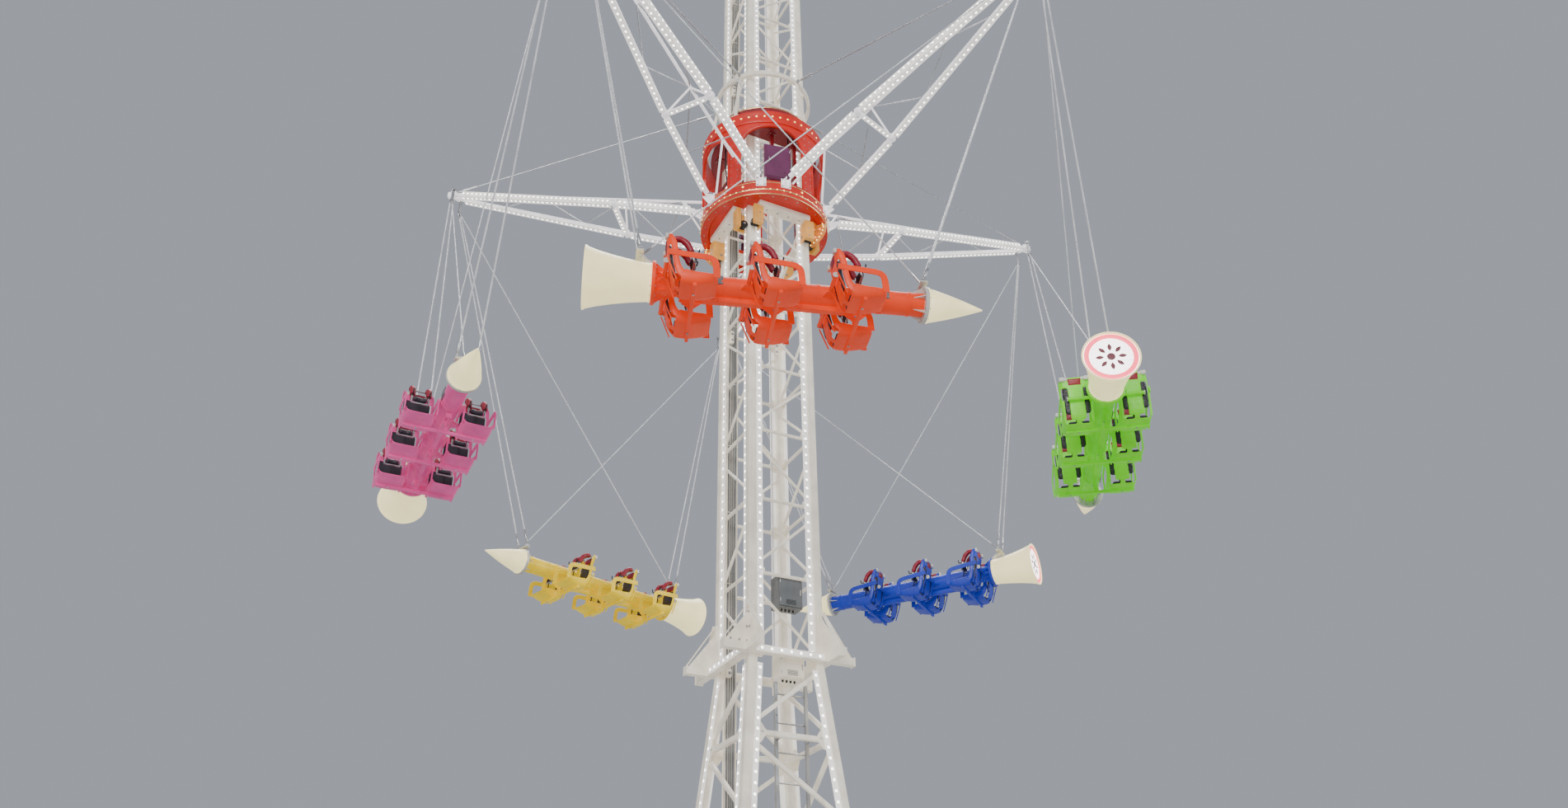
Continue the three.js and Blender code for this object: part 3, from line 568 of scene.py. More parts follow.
def mast_section(index, place):
    """One length of the mast: chamfered chords, round bracing, gussets and splice lugs."""
    node = f"mast_{place}_section"
    low, high = (corner.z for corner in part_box(node))
    shape = Shape()
    for cx, cy in CORNERS:
        x, y = cx * CHORD_AXIS, cy * CHORD_AXIS
        shape.bar((x, y, low), (x, y, high), CHORD, side=X, chamfer=CHAMFER)
        for z, way in ((low, 1), (high, -1)):
            inner = CHORD_FACE - 0.03
            shape.block((cx * inner, cy * inner, z + way * 0.07), (0.075, 0.075, 0.14))
            shape.bolt((cx * inner, cy * (inner - 0.038), z + way * 0.07), -cy * Y, 0.018, 1)
    for _ in quarters(shape):
        y = -CHORD_AXIS
        for n in range(BAYS):
            z = low + FIRST_LEVEL + n * BAY
            way = 1 if (index + n) % 2 else -1
            reach = way * (CHORD_FACE + 0.04)
            shape.rod((0, y, z), CHORD_FACE * X, 0.03, 10)
            shape.tube([(-reach, y, z + 0.09), (reach, y, z + BAY - 0.24)], 0.026, 10)
            for side in (-1, 1):
                corner = (side * (CHORD_FACE - 0.002), y - 0.036, z + 0.03)
                joint_plate(shape, corner, -side * X, -side * Z, -Y, 0.15, 0.24)
    shape.make(f"mast_{place}_lattice", "tower", [WHITE, STEEL], "white_frame", node)


def mast_lights():
    """A lamp board beside each chord on both faces of it, from the base's top to the mast's."""
    middle = 0.5 * (BASE_TOP + MAST_TOP)
    for cut, (low, high) in enumerate([(BASE_TOP, middle), (middle, MAST_TOP)]):
        shape = Shape()
        for _ in quarters(shape):
            for side in (-1, 1):
                x, y = side * 0.457, 0.034 - MAST_HALF
                light_board(shape, (x, y, low + 0.12 * (1 - cut)), (x, y, high - 0.05 * cut), -Y, 0.105)
        shape.make(f"mast_lamp_boards_{cut + 1}", "tower", BOARD_LOOK, "white_frame")


def base_lattice():
    """Splayed base with chamfered legs, level bars, diagonals and gussets."""
    shape, lights = Shape(), Shape()

    def corner(cx, cy, z):
        return Vector((cx * leg_spread(z), cy * leg_spread(z), z))

    for cx, cy in CORNERS:
        ends = corner(cx, cy, FRAME_TOP + 0.001), corner(cx, cy, BASE_TOP - 0.004)
        shape.bar(*ends, CHORD - 0.004, side=X, chamfer=CHAMFER)
        foot = corner(cx, cy, FRAME_TOP + 0.015)
        shape.block(foot, (0.26, 0.26, 0.03))
        shape.bolts(Matrix.Translation(foot), [(dx * 0.1, dy * 0.1, 0.015) for dx, dy in CORNERS], Z, 0.014)
    levels = [FRAME_TOP, *BASE_LEVELS, BASE_TOP]
    for _ in quarters(shape, lights):
        for z in BASE_LEVELS:
            shape.bar(corner(-1, -1, z), corner(1, -1, z), BASE_BAR - 0.004, side=Y)
        for n, (low, high) in enumerate(zip(levels, levels[1:])):
            way = 1 if n % 2 else -1
            shape.bar(corner(-way, -1, low + 0.09), corner(way, -1, high - 0.09), 0.066)
        rise = (corner(0, -1, BASE_TOP) - corner(0, -1, FRAME_TOP)).normalized()
        out = X.cross(rise)
        for side in (-1, 1):
            for z in BASE_LEVELS:
                at_leg = corner(side, -1, z) + out * 0.05 - side * X * (CHORD / 2 - 0.004)
                joint_plate(shape, at_leg, -side * X, -side * rise, out, 0.2, 0.34)
            ends = [corner(side, -1, z) - side * X * (CHORD / 2 + 0.045) + out * 0.062
                    for z in (0.4, BASE_TOP - 0.1)]
            light_board(lights, *ends, out, 0.085)
    shape.make("base_frame", "tower", [WHITE, STEEL], "white_frame", "base_lattice")
    lights.make("base_lamp_boards", "tower", BOARD_LOOK, "white_frame")


def cabinet(name, node, paint, finish):
    """Steel cabinet with a door, hinges, a handle, a vent and cable glands."""
    low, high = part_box(node)
    size, middle = high - low, (low + high) / 2
    shape = Shape()
    shape.block(middle + 0.008 * Y, (size.x, size.y - 0.03, size.z), 0, 0.008)
    door = low.y + 0.012
    shape.block((middle.x, door, middle.z), (size.x - 0.03, 0.02, size.z - 0.03), 0, 0.006)
    for z in (low.z + size.z * 0.2, high.z - size.z * 0.2):
        shape.rod((low.x + 0.03, low.y + 0.004, z), 0.03 * Z, 0.008, 8, 1)
    shape.block((high.x - 0.05, low.y + 0.002, middle.z), (0.022, 0.018, 0.1), 1, 0.004)
    for i in range(5):
        z = low.z + 0.05 + i * 0.018
        shape.block((middle.x, low.y + 0.001, z), (size.x * 0.4, 0.008, 0.006), 2, 0.001)
    for i in range(4):
        place = basis((middle.x + (i - 1.5) * 0.07, middle.y, low.z), X, -Y, -Z)
        shape.lathe([(0.018, 0), (0.018, 0.02), (0.012, 0.035)], place, 10, 2)
    for z in (low.z + 0.04, high.z - 0.04):
        shape.bar((low.x, high.y - 0.012, z), (high.x, high.y - 0.012, z), 0.03, 0.02, 1)
    shape.make(name, "tower", [paint, STEEL, BLACK], finish, node)


def inner_cables():
    """Cables and a tray that run up inside the mast beside the ladder."""
    shape = Shape()
    top = MAST_TOP - 0.3
    for i, (x, radius) in enumerate([(-0.5, 0.016), (-0.455, 0.012), (-0.42, 0.012), (-0.38, 0.02)]):
        y = 0.53 - 0.004 * i
        path = [(x + 0.006 * sin(n * 1.7 + i), y, 0.3 + (top - 0.3) * n / 24) for n in range(1, 24)]
        shape.tube([(x, y, 0.3), *path, (x, y, top)], radius)
    tray = ((-0.44, 0.556, 0.22, 0.012), (-0.55, 0.545, 0.008, 0.035), (-0.33, 0.545, 0.008, 0.035))
    for x, y, wide, deep in tray:
        shape.bar((x, y, 0.262), (x, y, top), wide, deep, 1, X)
    for i in range(int((top - 0.6) / BAY)):
        shape.bar((-0.55, 0.516, 0.9 + i * BAY), (-0.33, 0.516, 0.9 + i * BAY), 0.03, 0.006, 1)
    shape.make("mast_cables", "tower", [GREY, WHITE], "galvanised")


def collar_details():
    """Bolts and flanges on the collar frame, and a lamp board along each of its beams."""
    shape, lights = Shape(), Shape()
    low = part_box("collar_frame")[0]
    z = low.z + 0.06
    for _ in quarters(shape, lights):
        for side in (-1, 1):
            edge = [(side * u, -MAST_HALF - 0.0105, z + v) for u, v in ((1.163, 0.06), (0.66, 0.8))]
            shape.bar(*edge, 0.07, 0.012, 0, Y)
            for u, v in ((0.72, 0.12), (0.72, 0.35), (0.85, 0.12), (1.0, 0.12), (0.69, 0.6)):
                shape.bolt((side * u, -MAST_HALF - 0.0205, z + v), -Y, 0.014, 1)
            shape.block((side * 1.16, -MAST_HALF - 0.06, z), (0.012, 0.15, 0.15), 0, 0.003)
        light_board(lights, (-0.6, -MAST_HALF - 0.127, z), (0.6, -MAST_HALF - 0.127, z), -Y, 0.085)
    shape.make("collar_fittings", "tower", [WHITE, STEEL], "white_frame")
    lights.make("collar_lamp_boards", "tower", BOARD_LOOK, "white_frame")


def ground_details():
    """Cleats and bolts of the ground frame, and the jacks' threads, nuts, handles and ribbed feet."""
    shape = Shape()
    inner = FRAME_HALF - 0.24
    for k in quarters(shape):
        for x in (-1.05, -0.55, 0.55, 1.05):
            for y, deep in ((inner, 0.07), (FRAME_HALF - 0.001, 0.006)):
                shape.bar((x, y, 0.02), (x, y, FRAME_TOP - 0.02), 0.012, deep, 0, X)
        for x in (-0.2, 0.2):
            shape.bolt((x, inner - 0.06, 0.2), -Y, 0.014, 1)
            shape.bolt((x, inner + 0.06, FRAME_TOP), Z, 0.014, 1)
        shape.matrix = turned(k * pi / 2 + pi / 4)
        x, corner = OUTRIGGER_REACH, FRAME_HALF * math.sqrt(2)
        jack = Matrix.Translation((x, 0, 0))
        for n in range(18):
            z = 0.33 + 0.016 * n
            shape.lathe([(0.062, z), (0.0735, z + 0.005), (0.062, z + 0.01)], jack, 20, 1)
        shape.lathe([(0.07, 0.292), (0.11, 0.292), (0.11, 0.322), (0.07, 0.322)], jack, 6, 1)
        shape.rod((x, 0, 0.585), 0.16 * Y, 0.013, 10, 1)
        for n in range(4):
            out = turned(n * pi / 2 + pi / 4) @ X
            rib = [(0.06, 0.058), (0.3, 0.058), (0.3, 0.075), (0.06, 0.2)]
            shape.slab(rib, 0.016, basis((x, 0, 0), out, Z, out.cross(Z)))
            shape.bolt(Vector((x, 0, 0.06)) + 0.2 * (turned(n * pi / 2) @ X), Z, 0.014, 1)
        for side in (-1, 1):
            plate = basis((corner + 0.3, side * 0.101, 0.19), X, Z, -side * Y)
            shape.slab(square(0.14, 0.085), 0.008, plate)
            shape.bolts(plate, [(0.1 * dx, 0.055 * dz, -0.004) for dx, dz in CORNERS], side * Y, 0.012)
    shape.make("ground_fittings", "tower", [WHITE, STEEL], "white_frame")


def mast_head_details():
    """Gussets, bolts and bearing caps of the mast head, and the beacon's ribs."""
    shape = Shape()
    low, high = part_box("mast_head")
    half = high.x - 0.06
    for _ in quarters(shape):
        for side in (-1, 1):
            corner = Vector((side * (half - 0.06), -half - 0.061, low.z + 0.06))
            shape.bolt(corner, -Y, 0.018, 1)
            shape.bolt(corner - side * 0.12 * X, -Y, 0.018, 1)
            joint_plate(shape, (side * (half - 0.05), -half, low.z + 0.121), -side * X, Z, -Y, 0.2, 0.202)
    shape.matrix = Matrix.Identity(4)
    _, y, z = sum(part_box("head_sheave"), Vector()) / 2
    for side in (-1, 1):
        place = basis((0, y + side * 0.157, z), X, Z, side * Y)
        shape.lathe([(0.04, -0.004), (0.075, -0.004), (0.075, 0.001), (0.04, 0.002)], place, 20, 1)
    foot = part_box("top_beacon")[0].z + 0.34
    for t in circle(10):
        rib = [polar(r, t, foot + rise) for r, rise in ((0.205, 0), (0.205, 0.22), (0.02, 0.405))]
        shape.tube(rib, 0.012, 6, 2)
    shape.make("mast_head_fittings", "tower", [WHITE, STEEL, RED], "white_frame")


for i, place in enumerate(("lower", "middle", "upper")):
    mast_section(i, place)
ground_details()
mast_head_details()
mast_lights()
base_lattice()
cabinet("collar_cabinet_detail", "collar_cabinet", WHITE, "white_frame")
cabinet("control_box_detail", "mast_control_box", GREY, "grey_box")
inner_cables()
collar_details()


# Turning head and carriage

RING_SIDES = 60
ARM_PITCH = 0.115
ARM_BOARD = 0.12
ARM_LAMP_R = 0.028
ROOT_TURN = 0.44  # of an arm's two root plates, to each side of the arm
SLOPE = (TIP_Z - ROOT_Z) / (TIP_R - ROOT_R)


def chord_height(r):
    """Height of an arm's lower chords at a distance from the mast's axis."""
    return ROOT_Z + SLOPE * (r - ROOT_R)


def top_height(r):
    """Height of an arm's top chord there."""
    return chord_height(r) + 0.06 + (TOP_RISE - 0.06) * (TIP_R - r) / (TIP_R - ROOT_R)


def arm(index):
    """A lit arm: lower chords with lamp boards, cross piece, top chord, bracing, tip and stay rod."""
    shape, lights = Shape(turned(index * STEP)), Shape(turned(index * STEP))

    def low(r, side):
        half = ROOT_HALF + (KNEE_HALF - ROOT_HALF) * (r - 1.08) / (KNEE_R - 1.08)
        if r > KNEE_R:
            half = KNEE_HALF + (TIP_HALF - KNEE_HALF) * (r - KNEE_R) / (TIP_R - 0.06 - KNEE_R)
        return Vector((r, side * half, chord_height(r)))

    inside = KNEE_R - 0.06  # where the bracing meets the top chord over the knee
    for side in (-1, 1):
        shape.tube([low(1.33, side), low(KNEE_R, side)], 0.052, 12)
        shape.tube([low(KNEE_R, side), low(TIP_R - 0.07, side)], [0.052, 0.04], 12)
        shape.block(low(KNEE_R, side), (0.11, 0.13, 0.13))
        shape.tube([low(KNEE_R, side), (inside, 0, top_height(inside))], 0.022, 8)
        shape.tube([low(1.24, side) - side * 0.17 * Y, (1.75, 0, top_height(1.75))], 0.022, 8)
        across = polar(1, side * ROOT_TURN)
        plate = basis(polar(1.318, side * ROOT_TURN, ROOT_Z - 0.062), Z.cross(across), Z, across)
        shape.slab(square(0.1, 0.105), 0.03, plate, 0, 0.004)
        shape.bolts(plate, [(dy * 0.075, dz * 0.082, 0.015) for dy, dz in CORNERS], across, 0.012)
        for dy in (-0.045, 0.045):
            rib = [(0.0, -0.1), (0.16, 0.0), (0.16, 0.035), (0.0, 0.1)]
            shape.slab(rib, 0.012, basis(plate @ Vector((dy, 0, 0.012)), across, Z, across.cross(Z)))
        for first, last in ((1.42, KNEE_R - 0.08), (KNEE_R + 0.08, TIP_R - 0.32)):
            a, b = low(first, side), low(last, side)
            axis = (b - a).normalized()
            outward = (side * Y - axis * axis.dot(side * Y)).normalized()
            under = axis.cross(outward) * (-1 if axis.cross(outward).z > 0 else 1)
            for out in (under, outward):
                light_board(lights, a + out * 0.06, b + out * 0.06, out, ARM_BOARD, ARM_PITCH, ARM_LAMP_R)
        for first, last in ((2.2, 1.75), (2.2, inside), (4.0, inside), (4.0, 4.9), (5.8, 4.9)):
            shape.tube([low(first, side) + 0.03 * Z, (last, 0, top_height(last))], 0.012, 6, 1)
        way = polar(1, side * (pi / 2 + STEP / 2))
        tip = Vector((TIP_R, 0, TIP_Z))
        for first, last, radius, sides, slot in ((0, -0.028, 0.038, 12, 0), (0, 0.034, 0.0215, 16, 1),
                                                 (HANG_OUT + 0.026, 0.044, 0.036, 6, 1)):
            shape.tube([tip + way * first, tip + way * (HANG_OUT + last)], radius, sides, slot)
    cross = low(KNEE_R, -1), low(KNEE_R, 1)
    shape.tube(cross, 0.042, 10)
    ends = cross[0] + Vector((0.02, 0.1, -0.048)), cross[1] + Vector((0.02, -0.1, -0.048))
    light_board(lights, *ends, -Z, 0.1, ARM_PITCH, ARM_LAMP_R)
    shape.tube([(1.3, 0, top_height(1.3)), (TIP_R - 0.2, 0, top_height(TIP_R - 0.2))], 0.032, 10)
    shape.block((TIP_R - 0.04, 0, TIP_Z), (0.2, 0.15, 0.15), 0, 0.02)
    for dy, dz in square(0.045):
        shape.bolt((TIP_R + 0.06, dy, TIP_Z + dz), X, 0.01, 1)
    foot = Vector((TIP_R - 0.04, 0, TIP_Z + 0.06))
    head = Vector((STAY_RING_R + 0.004, 0, STAY_RING_Z))
    shape.tube([foot, head], 0.012, 8, 1)
    for place in (0.04, 0.93):
        for length, radius in ((0.05, 0.026), (0.006, 0.034)):
            shape.tube([foot.lerp(head, place), foot.lerp(head, place + length)], radius, 8, 1)
    node = f"arm_{index + 1}"
    shape.make(f"{node}_truss", "turning_head", [ARM_WHITE, STEEL], "white_frame", node)
    lights.make(f"{node}_lamp_boards", "turning_head", BOARD_LOOK, "white_frame")


def around(shape, radius, z, section, slot=0):
    """Ring about the mast whose section is a list of [outward, upward] points."""
    shape.rings([[polar(radius + u, t, z + v) for u, v in section] for t in circle(RING_SIDES)], slot,
                closed=True)


def bead(wide, high):
    """Six-sided section of a rolled rim."""
    return [(wide * cos(a), high * sin(a)) for a in circle(6)]


def head_ring():
    """Lower ring: a band with rolled gold rims over a flange, a lit gold line and a row of lamps."""
    shape, lights = Shape(), Shape()
    low, high = RING_LOW + 0.0005, RING_HIGH
    lip = PLATE_TOP + 0.001
    r = HEAD_R - 0.008
    top, seat = lip + 0.07, low + 0.024
    around(shape, 0, 0, [(1.142, low), (r, low), (r, high), (1.212, high), (1.212, top), (1.06, top),
                         (1.06, lip), (1.212, lip), (1.212, seat), (1.142, seat)])
    for z, thick in ((low + 0.014, 0.014), (ROOT_Z - 0.235, 0.017), (high - 0.012, 0.012)):
        around(shape, r, z, bead(0.01, thick), slot=1)
    for i, t in enumerate(circle(60, 0.5)):
        lights.lamp(polar(r + 0.006, t, ROOT_Z - 0.235), polar(1, t), 0.017, 0.012, 0, 1)
        if i % 3 == 1:
            lights.lamp(polar(r, t, ROOT_Z - 0.125), polar(1, t), 0.024, 0.014, 0, 1)
    for t in circle(30):
        shape.bolt(polar(1.225, t, low + 0.001), -Z, 0.011, 2)
    shape.make("head_ring_detail", "turning_head", [RED, GOLD, STEEL], "red_head", "head_lower_ring")
    lights.make("head_ring_lamps", "turning_head", [GOLD, WARM_LAMP], "red_head")


ARCH_HALF = 0.64
ARCH_SPRING, ARCH_RISE = 1.09, 0.45  # spring above the drum's foot, and the arch's rise


def head_shell():
    """Drum with five arched openings, each with a rolled frame, under a lit hoop."""
    low = RING_HIGH + 0.0008
    foot, spring = low + 0.03, low + ARCH_SPRING
    outer, thick = HEAD_R - 0.032, 0.05
    shape, lights = Shape(), Shape()
    columns, top = 24, SHELL_TOP - 0.0005
    half_angle = math.asin(ARCH_HALF / (HEAD_R - 0.02))

    def arch(angle):
        """Height of an opening's edge at an angle from its middle."""
        return spring + ARCH_RISE * math.sqrt(max(0.0, 1 - (angle / half_angle) ** 2))

    for i in range(ARMS):
        middle = STEP / 2 + i * STEP
        turns = [half_angle * (2 * k / columns - 1) for k in range(columns + 1)]
        for a, b in zip(turns, turns[1:]):
            for lows, highs in (((arch(a), arch(b)), (top, top)), ((low, low), (foot, foot))):
                points = [polar(r, middle + t, z) for r in (outer, outer - thick)
                          for t, z in ((a, lows[0]), (b, lows[1]), (b, highs[1]), (a, highs[0]))]
                shape.add(points, [[0, 1, 2, 3], [7, 6, 5, 4], [0, 4, 5, 1], [3, 2, 6, 7]])
        pier = [middle + half_angle + (STEP - 2 * half_angle) * k / 6 for k in range(7)]
        section = [(outer - thick, low), (outer - thick, top), (outer, top), (outer, low)]
        shape.rings([[polar(r, t, z) for r, z in section] for t in pier])
        line = [(-half_angle, foot), *((t, arch(t)) for t in turns), (half_angle, foot)]
        line += [(half_angle * (1 - 2 * k / 12), foot) for k in range(1, 12)]
        shape.tube([polar(outer + 0.004, middle + t, z) for t, z in line], 0.02, closed=True)
        for k in range(9):
            for aside in (-0.055, 0.055):
                t = middle + STEP / 2 + aside
                shape.bolt(polar(outer, t, low + 0.1 + 0.17 * k), polar(1, t), 0.009, 1)
    hoop = outer + 0.012
    around(shape, hoop, top - 0.165, [(-0.03, -0.16), (0.012, -0.155), (0.02, -0.12), (0.012, -0.08),
                                      (0.012, 0.08), (0.02, 0.12), (0.012, 0.155), (-0.03, 0.165)])
    for t in circle(50):
        lights.lamp(polar(hoop + 0.012, t, top - 0.165), polar(1, t), 0.022, 0.012, 0, 1)
    shape.make("head_shell_detail", "turning_head", [RED, STEEL], "red_head", "head_shell")
    lights.make("head_hoop_lamps", "turning_head", [GOLD, WARM_LAMP], "red_head")


def stay_ring():
    """Slim ring above the head on its struts, with lugs for the stay rods."""
    shape = Shape()
    around(shape, STAY_RING_R * cos(pi / 20) - 0.035, STAY_RING_Z,
           [(0.033, -0.05), (0.033, 0.05), (0.023, 0.058), (-0.023, 0.058), (-0.033, 0.05), (-0.033, -0.05),
            (-0.023, -0.058), (0.023, -0.058)])
    for i in range(ARMS):
        shape.matrix = turned(i * STEP)
        shape.bar((1.238, 0, SHELL_TOP + 0.002), (1.03, 0, STAY_RING_Z - 0.02), 0.056, side=Y)
        shape.block((1.236, 0, SHELL_TOP + 0.014), (0.09, 0.16, 0.024))
        shape.block((STAY_RING_R + 0.02, 0, STAY_RING_Z), (0.07, 0.03, 0.09), 1)
    shape.make("stay_ring_detail", "turning_head", [WHITE, STEEL], "white_frame", "stay_ring")


def square_hole(t):
    """Distance from the mast's axis to the square hole of a carriage plate, at an angle."""
    return HOLE_HALF / max(abs(cos(t)), abs(sin(t)))


SCROLL_LINE = [(0.992, -0.29), (1.108, -0.29), (1.108, -0.378), (1.298, -0.378), (1.306, -0.43),
               (1.307, -0.48), (1.295, -0.56), (1.266, -0.64), (1.212, -0.73), (1.148, -0.8),
               (1.09, -0.855), (1.03, -0.898), (0.992, -0.898)]
SCROLL_RIM = [(1.008, -0.4), (1.275, -0.395), (1.287, -0.48), (1.24, -0.635), (1.14, -0.775),
              (1.01, -0.88)]
CURLS = [((1.185, -0.5), 0.082, 1), ((1.085, -0.69), 0.07, -1), ((1.06, -0.48), 0.042, -1)]
POST_R, POST_TURN = 0.93, 0.28  # radius of the posts, and their angle to both sides of a mast face's middle


def carriage_cage():
    """Two plates about the mast on posts, a hood ring, and a lit scroll plate at two opposite corners."""
    shape, lights = Shape(), Shape()
    for high, slot in ((PLATE_TOP, 4), (UPPER_PLATE, 0)):
        edge = [(1.112, -0.06), (1.118, -0.054), (1.118, -0.006), (1.112, 0)]
        rings = [[polar(r, t, high + z) for r, z in ((square_hole(t), -0.06), *edge, (square_hole(t), 0))]
                 for t in circle(64)]
        shape.rings(rings, slot, closed=True)
    foot, hood = ROOT_Z + 1.63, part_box("carriage_cage")[1].z
    around(shape, 0, 0, [(1.0, foot), (1.068, foot), (1.068, hood - 0.01), (1.058, hood - 0.001),
                         (1.01, hood - 0.001), (1.0, hood - 0.01)])
    for z in (ROOT_Z + 1.96, hood - 0.03):
        around(shape, 1.066, z, bead(0.008, 0.014), slot=2)
    for _ in quarters(shape):
        for aside in (-POST_TURN, POST_TURN):
            x, y, _ = polar(POST_R, aside)
            shape.bar((x, y, PLATE_TOP), (x, y, ROOT_Z + 1.6), 0.078, side=X)
            for z, rise in ((PLATE_TOP + 0.01, 1), (ROOT_Z + 1.568, -1)):
                shape.block((x, y, z), (0.15, 0.13, 0.022), 0, 0.003)
                for dy in (-0.052, 0.052):
                    shape.bolt((x + 0.058, y + dy, z + rise * 0.011), Z * rise, 0.009, 3)
        rail = polar(POST_R, -POST_TURN, ROOT_Z + 0.66), polar(POST_R, POST_TURN, ROOT_Z + 0.66)
        shape.bar(*rail, 0.05)
    for angle in (-45, 135):
        shape.matrix = lights.matrix = turned(radians(angle))
        shape.slab(SCROLL_LINE, 0.038, basis(ROOT_Z * Z, X, Z, -Y), 1, 0.003)
        for side in (-1, 1):
            face = side * 0.021
            rim = [Vector((r, face, ROOT_Z + z)) for r, z in SCROLL_RIM]
            shape.tube(smooth_line(rim, 4), 0.01, 6, 2)
            for (across, up), size, way in CURLS:
                curl = []
                for i in range(23):
                    t = i / 22
                    a = pi * 2.4 * t
                    r = size * (0.18 + 0.82 * t)
                    curl.append((across + way * r * sin(a), face, ROOT_Z + up - r * cos(a)))
                shape.tube(curl, 0.008, 6, 2)
                lights.lamp((across, face, ROOT_Z + up), side * Y, 0.026, 0.018, 0, 2)
            trail = smooth_line([p + Vector((-0.028, 0, 0.014)) for p in rim[1:]], 4)
            for spot in trail[::2]:
                lights.lamp(spot, side * Y, 0.017, 0.016, 0, 1)
    paints = [DEEP_RED, ORANGE, GOLD, STEEL, RED]
    shape.make("carriage_cage_detail", "carriage", paints, "red_head", "carriage_cage")
    lights.make("scroll_lamps", "carriage", [GOLD, WARM_LAMP, RED_LAMP], "red_head")


def drives():
    """Four turning drives on the lower plate, their cables, and a control cabinet on a stand."""
    shape = Shape()
    low = PLATE_TOP
    for _ in quarters(shape):
        motor = Matrix.Translation((0, -DRIVE_R, low))
        profile = [(0.12, 0), (0.12, 0.06), (0.095, 0.08), (0.095, 0.36), (0.075, 0.42), (0.03, 0.43)]
        shape.lathe(profile, motor, 20)
        for i in range(8):
            z = 0.1 + i * 0.03
            shape.lathe([(0.106, z), (0.106, z + 0.012)], motor, 20)
        shape.block((0, -DRIVE_R, low + 0.5), (0.28, 0.2, 0.16), 0, 0.02)
        cable = [(0.1, -DRIVE_R, low + 0.55), (0.15, -0.9, low + 0.8), (0.12, -0.93, low + 1.3),
                 (0.1, -0.93, ROOT_Z + 1.57)]
        shape.tube(smooth_line(cable, 6), 0.014, 8, 1)
    shape.matrix = turned(CABINET_TURN)
    shape.bar((0.95, 0, low), (0.95, 0, low + 0.57), 0.09, slot=2)
    shape.block((0.965, 0, ROOT_Z + 0.71), (0.24, 0.56, 0.92), 0, 0.03)
    shape.block((1.088, 0, ROOT_Z + 0.71), (0.012, 0.48, 0.82), 0, 0.004)
    for z in (0.4, 1.02):
        shape.rod((1.09, 0.245, ROOT_Z + z), 0.03 * Z, 0.01, 8, 2)
    handle = ((1.09, 0.66), (1.112, 0.66), (1.112, 0.78), (1.09, 0.78))
    shape.tube([(x, -0.19, ROOT_Z + z) for x, z in handle], 0.007, 8, 2)
    shape.make("carriage_drives", "carriage", [PLUM, BLACK, STEEL], "red_head")


def roller_units():
    """Guide rollers with rubber tyres in their brackets, below the lower plate."""
    axle_x = MAST_HALF + 0.0754
    for k in range(4):
        shape = Shape(turned(k * pi / 2))
        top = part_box(f"guide_roller_unit_{k + 1}")[1].z - 0.0005
        z = top - 0.44
        shape.block((axle_x + 0.095, 0, top - 0.06), (0.236, 2 * CHORD_AXIS - 0.07, 0.118), 0, 0.008)
        for y in (-0.36, -0.12, 0.12, 0.36):
            shape.bolt((axle_x + 0.095, y, top - 0.119), -Z, 0.014, 1)
        for side in (-1, 1):
            for x, y, size, cut in ((0.13, 0.03, (0.088, 0.196, 0.456), 0.008),
                                    (0.02, 0.115, (0.196, 0.028, 0.456), 0.006)):
                shape.block((axle_x + x, side * (CHORD_AXIS - y), top - 0.33), size, 3, cut)
            inner, outer, edge = side * (CHORD_AXIS - 0.094), side * (CHORD_AXIS + 0.049), side * 0.012
            shape.lathe([(0.03, inner), (0.066, inner), (0.0742, inner + edge), (0.0742, outer - edge),
                         (0.066, outer), (0.03, outer)], basis((axle_x, 0, z), Z, X, Y), 28, 2)
            axle = [(axle_x, side * (CHORD_AXIS + y), z) for y in (-0.14, 0.056)]
            shape.tube(axle, 0.028, 16, 1)
            shape.bolt(axle[1], side * Y, 0.016, 1)
            for dz in (0.1, 0.28):
                shape.bolt((axle_x + 0.174, side * (CHORD_AXIS - 0.05), top - 0.2 - dz), X, 0.012, 1)
            middle = Vector((axle_x + 0.055, side * (CHORD_AXIS - 0.03), top - 0.14))
            coils = [middle + polar(0.02, 2 * pi * i / 8, -0.2 * i / 48) for i in range(49)]
            shape.tube(coils, 0.005, 6, 1)
        shape.make(f"guide_roller_detail_{k + 1}", "carriage", [WHITE, STEEL, BLACK, WARM_PAINT],
                   "bracket_paint", f"guide_roller_unit_{k + 1}")


for i in range(ARMS):
    arm(i)
head_ring()
head_shell()
stay_ring()
carriage_cage()
drives()
roller_units()


# Gondolas

BOOM_SIDES = 40
QUARTER_STEPS = (0, 0.25, 0.5, 0.75, 1)
SHELL_LINE = [(-0.372, 0.325), (-0.345, 0.15), (-0.318, -0.05), (-0.29, -0.22), (-0.258, -0.335),
              (-0.185, -0.405), (-0.04, -0.425), (0.13, -0.402), (0.3, -0.352)]
WING_DEPTHS = [0.05, 0.1, 0.095, 0.105, 0.15, 0.165, 0.155, 0.12, 0.07]
SHELL_THICK = 0.014
RESTRAINT_LINE = [(-0.375, 0.3), (-0.27, 0.318), (-0.185, 0.31), (-0.105, 0.245), (-0.045, 0.12),
                  (-0.005, -0.04)]
RESTRAINT_HALF = 0.125
ALONG = basis(Vector(), Y, Z, X)  # local Z forward along the boom


def gondola_frame(index):
    """A gondola's own frame: +X forward along the boom, +Y inward, from the boom's middle."""
    return turned(STEP / 2 + index * STEP + pi / 2) @ Matrix.Translation((-TRAIL, -CHORD_R, BOOM_Z))


def hung(shape, colour, name, materials, finish, node=None, **options):
    """Make a piece that rides on one gondola and may replace one of its nodes."""
    nodes = [f"{colour}_gondola_{node}"] if node else []
    return shape.make(f"{colour}_{name}", f"{colour}_gondola", materials, finish, *nodes, **options)


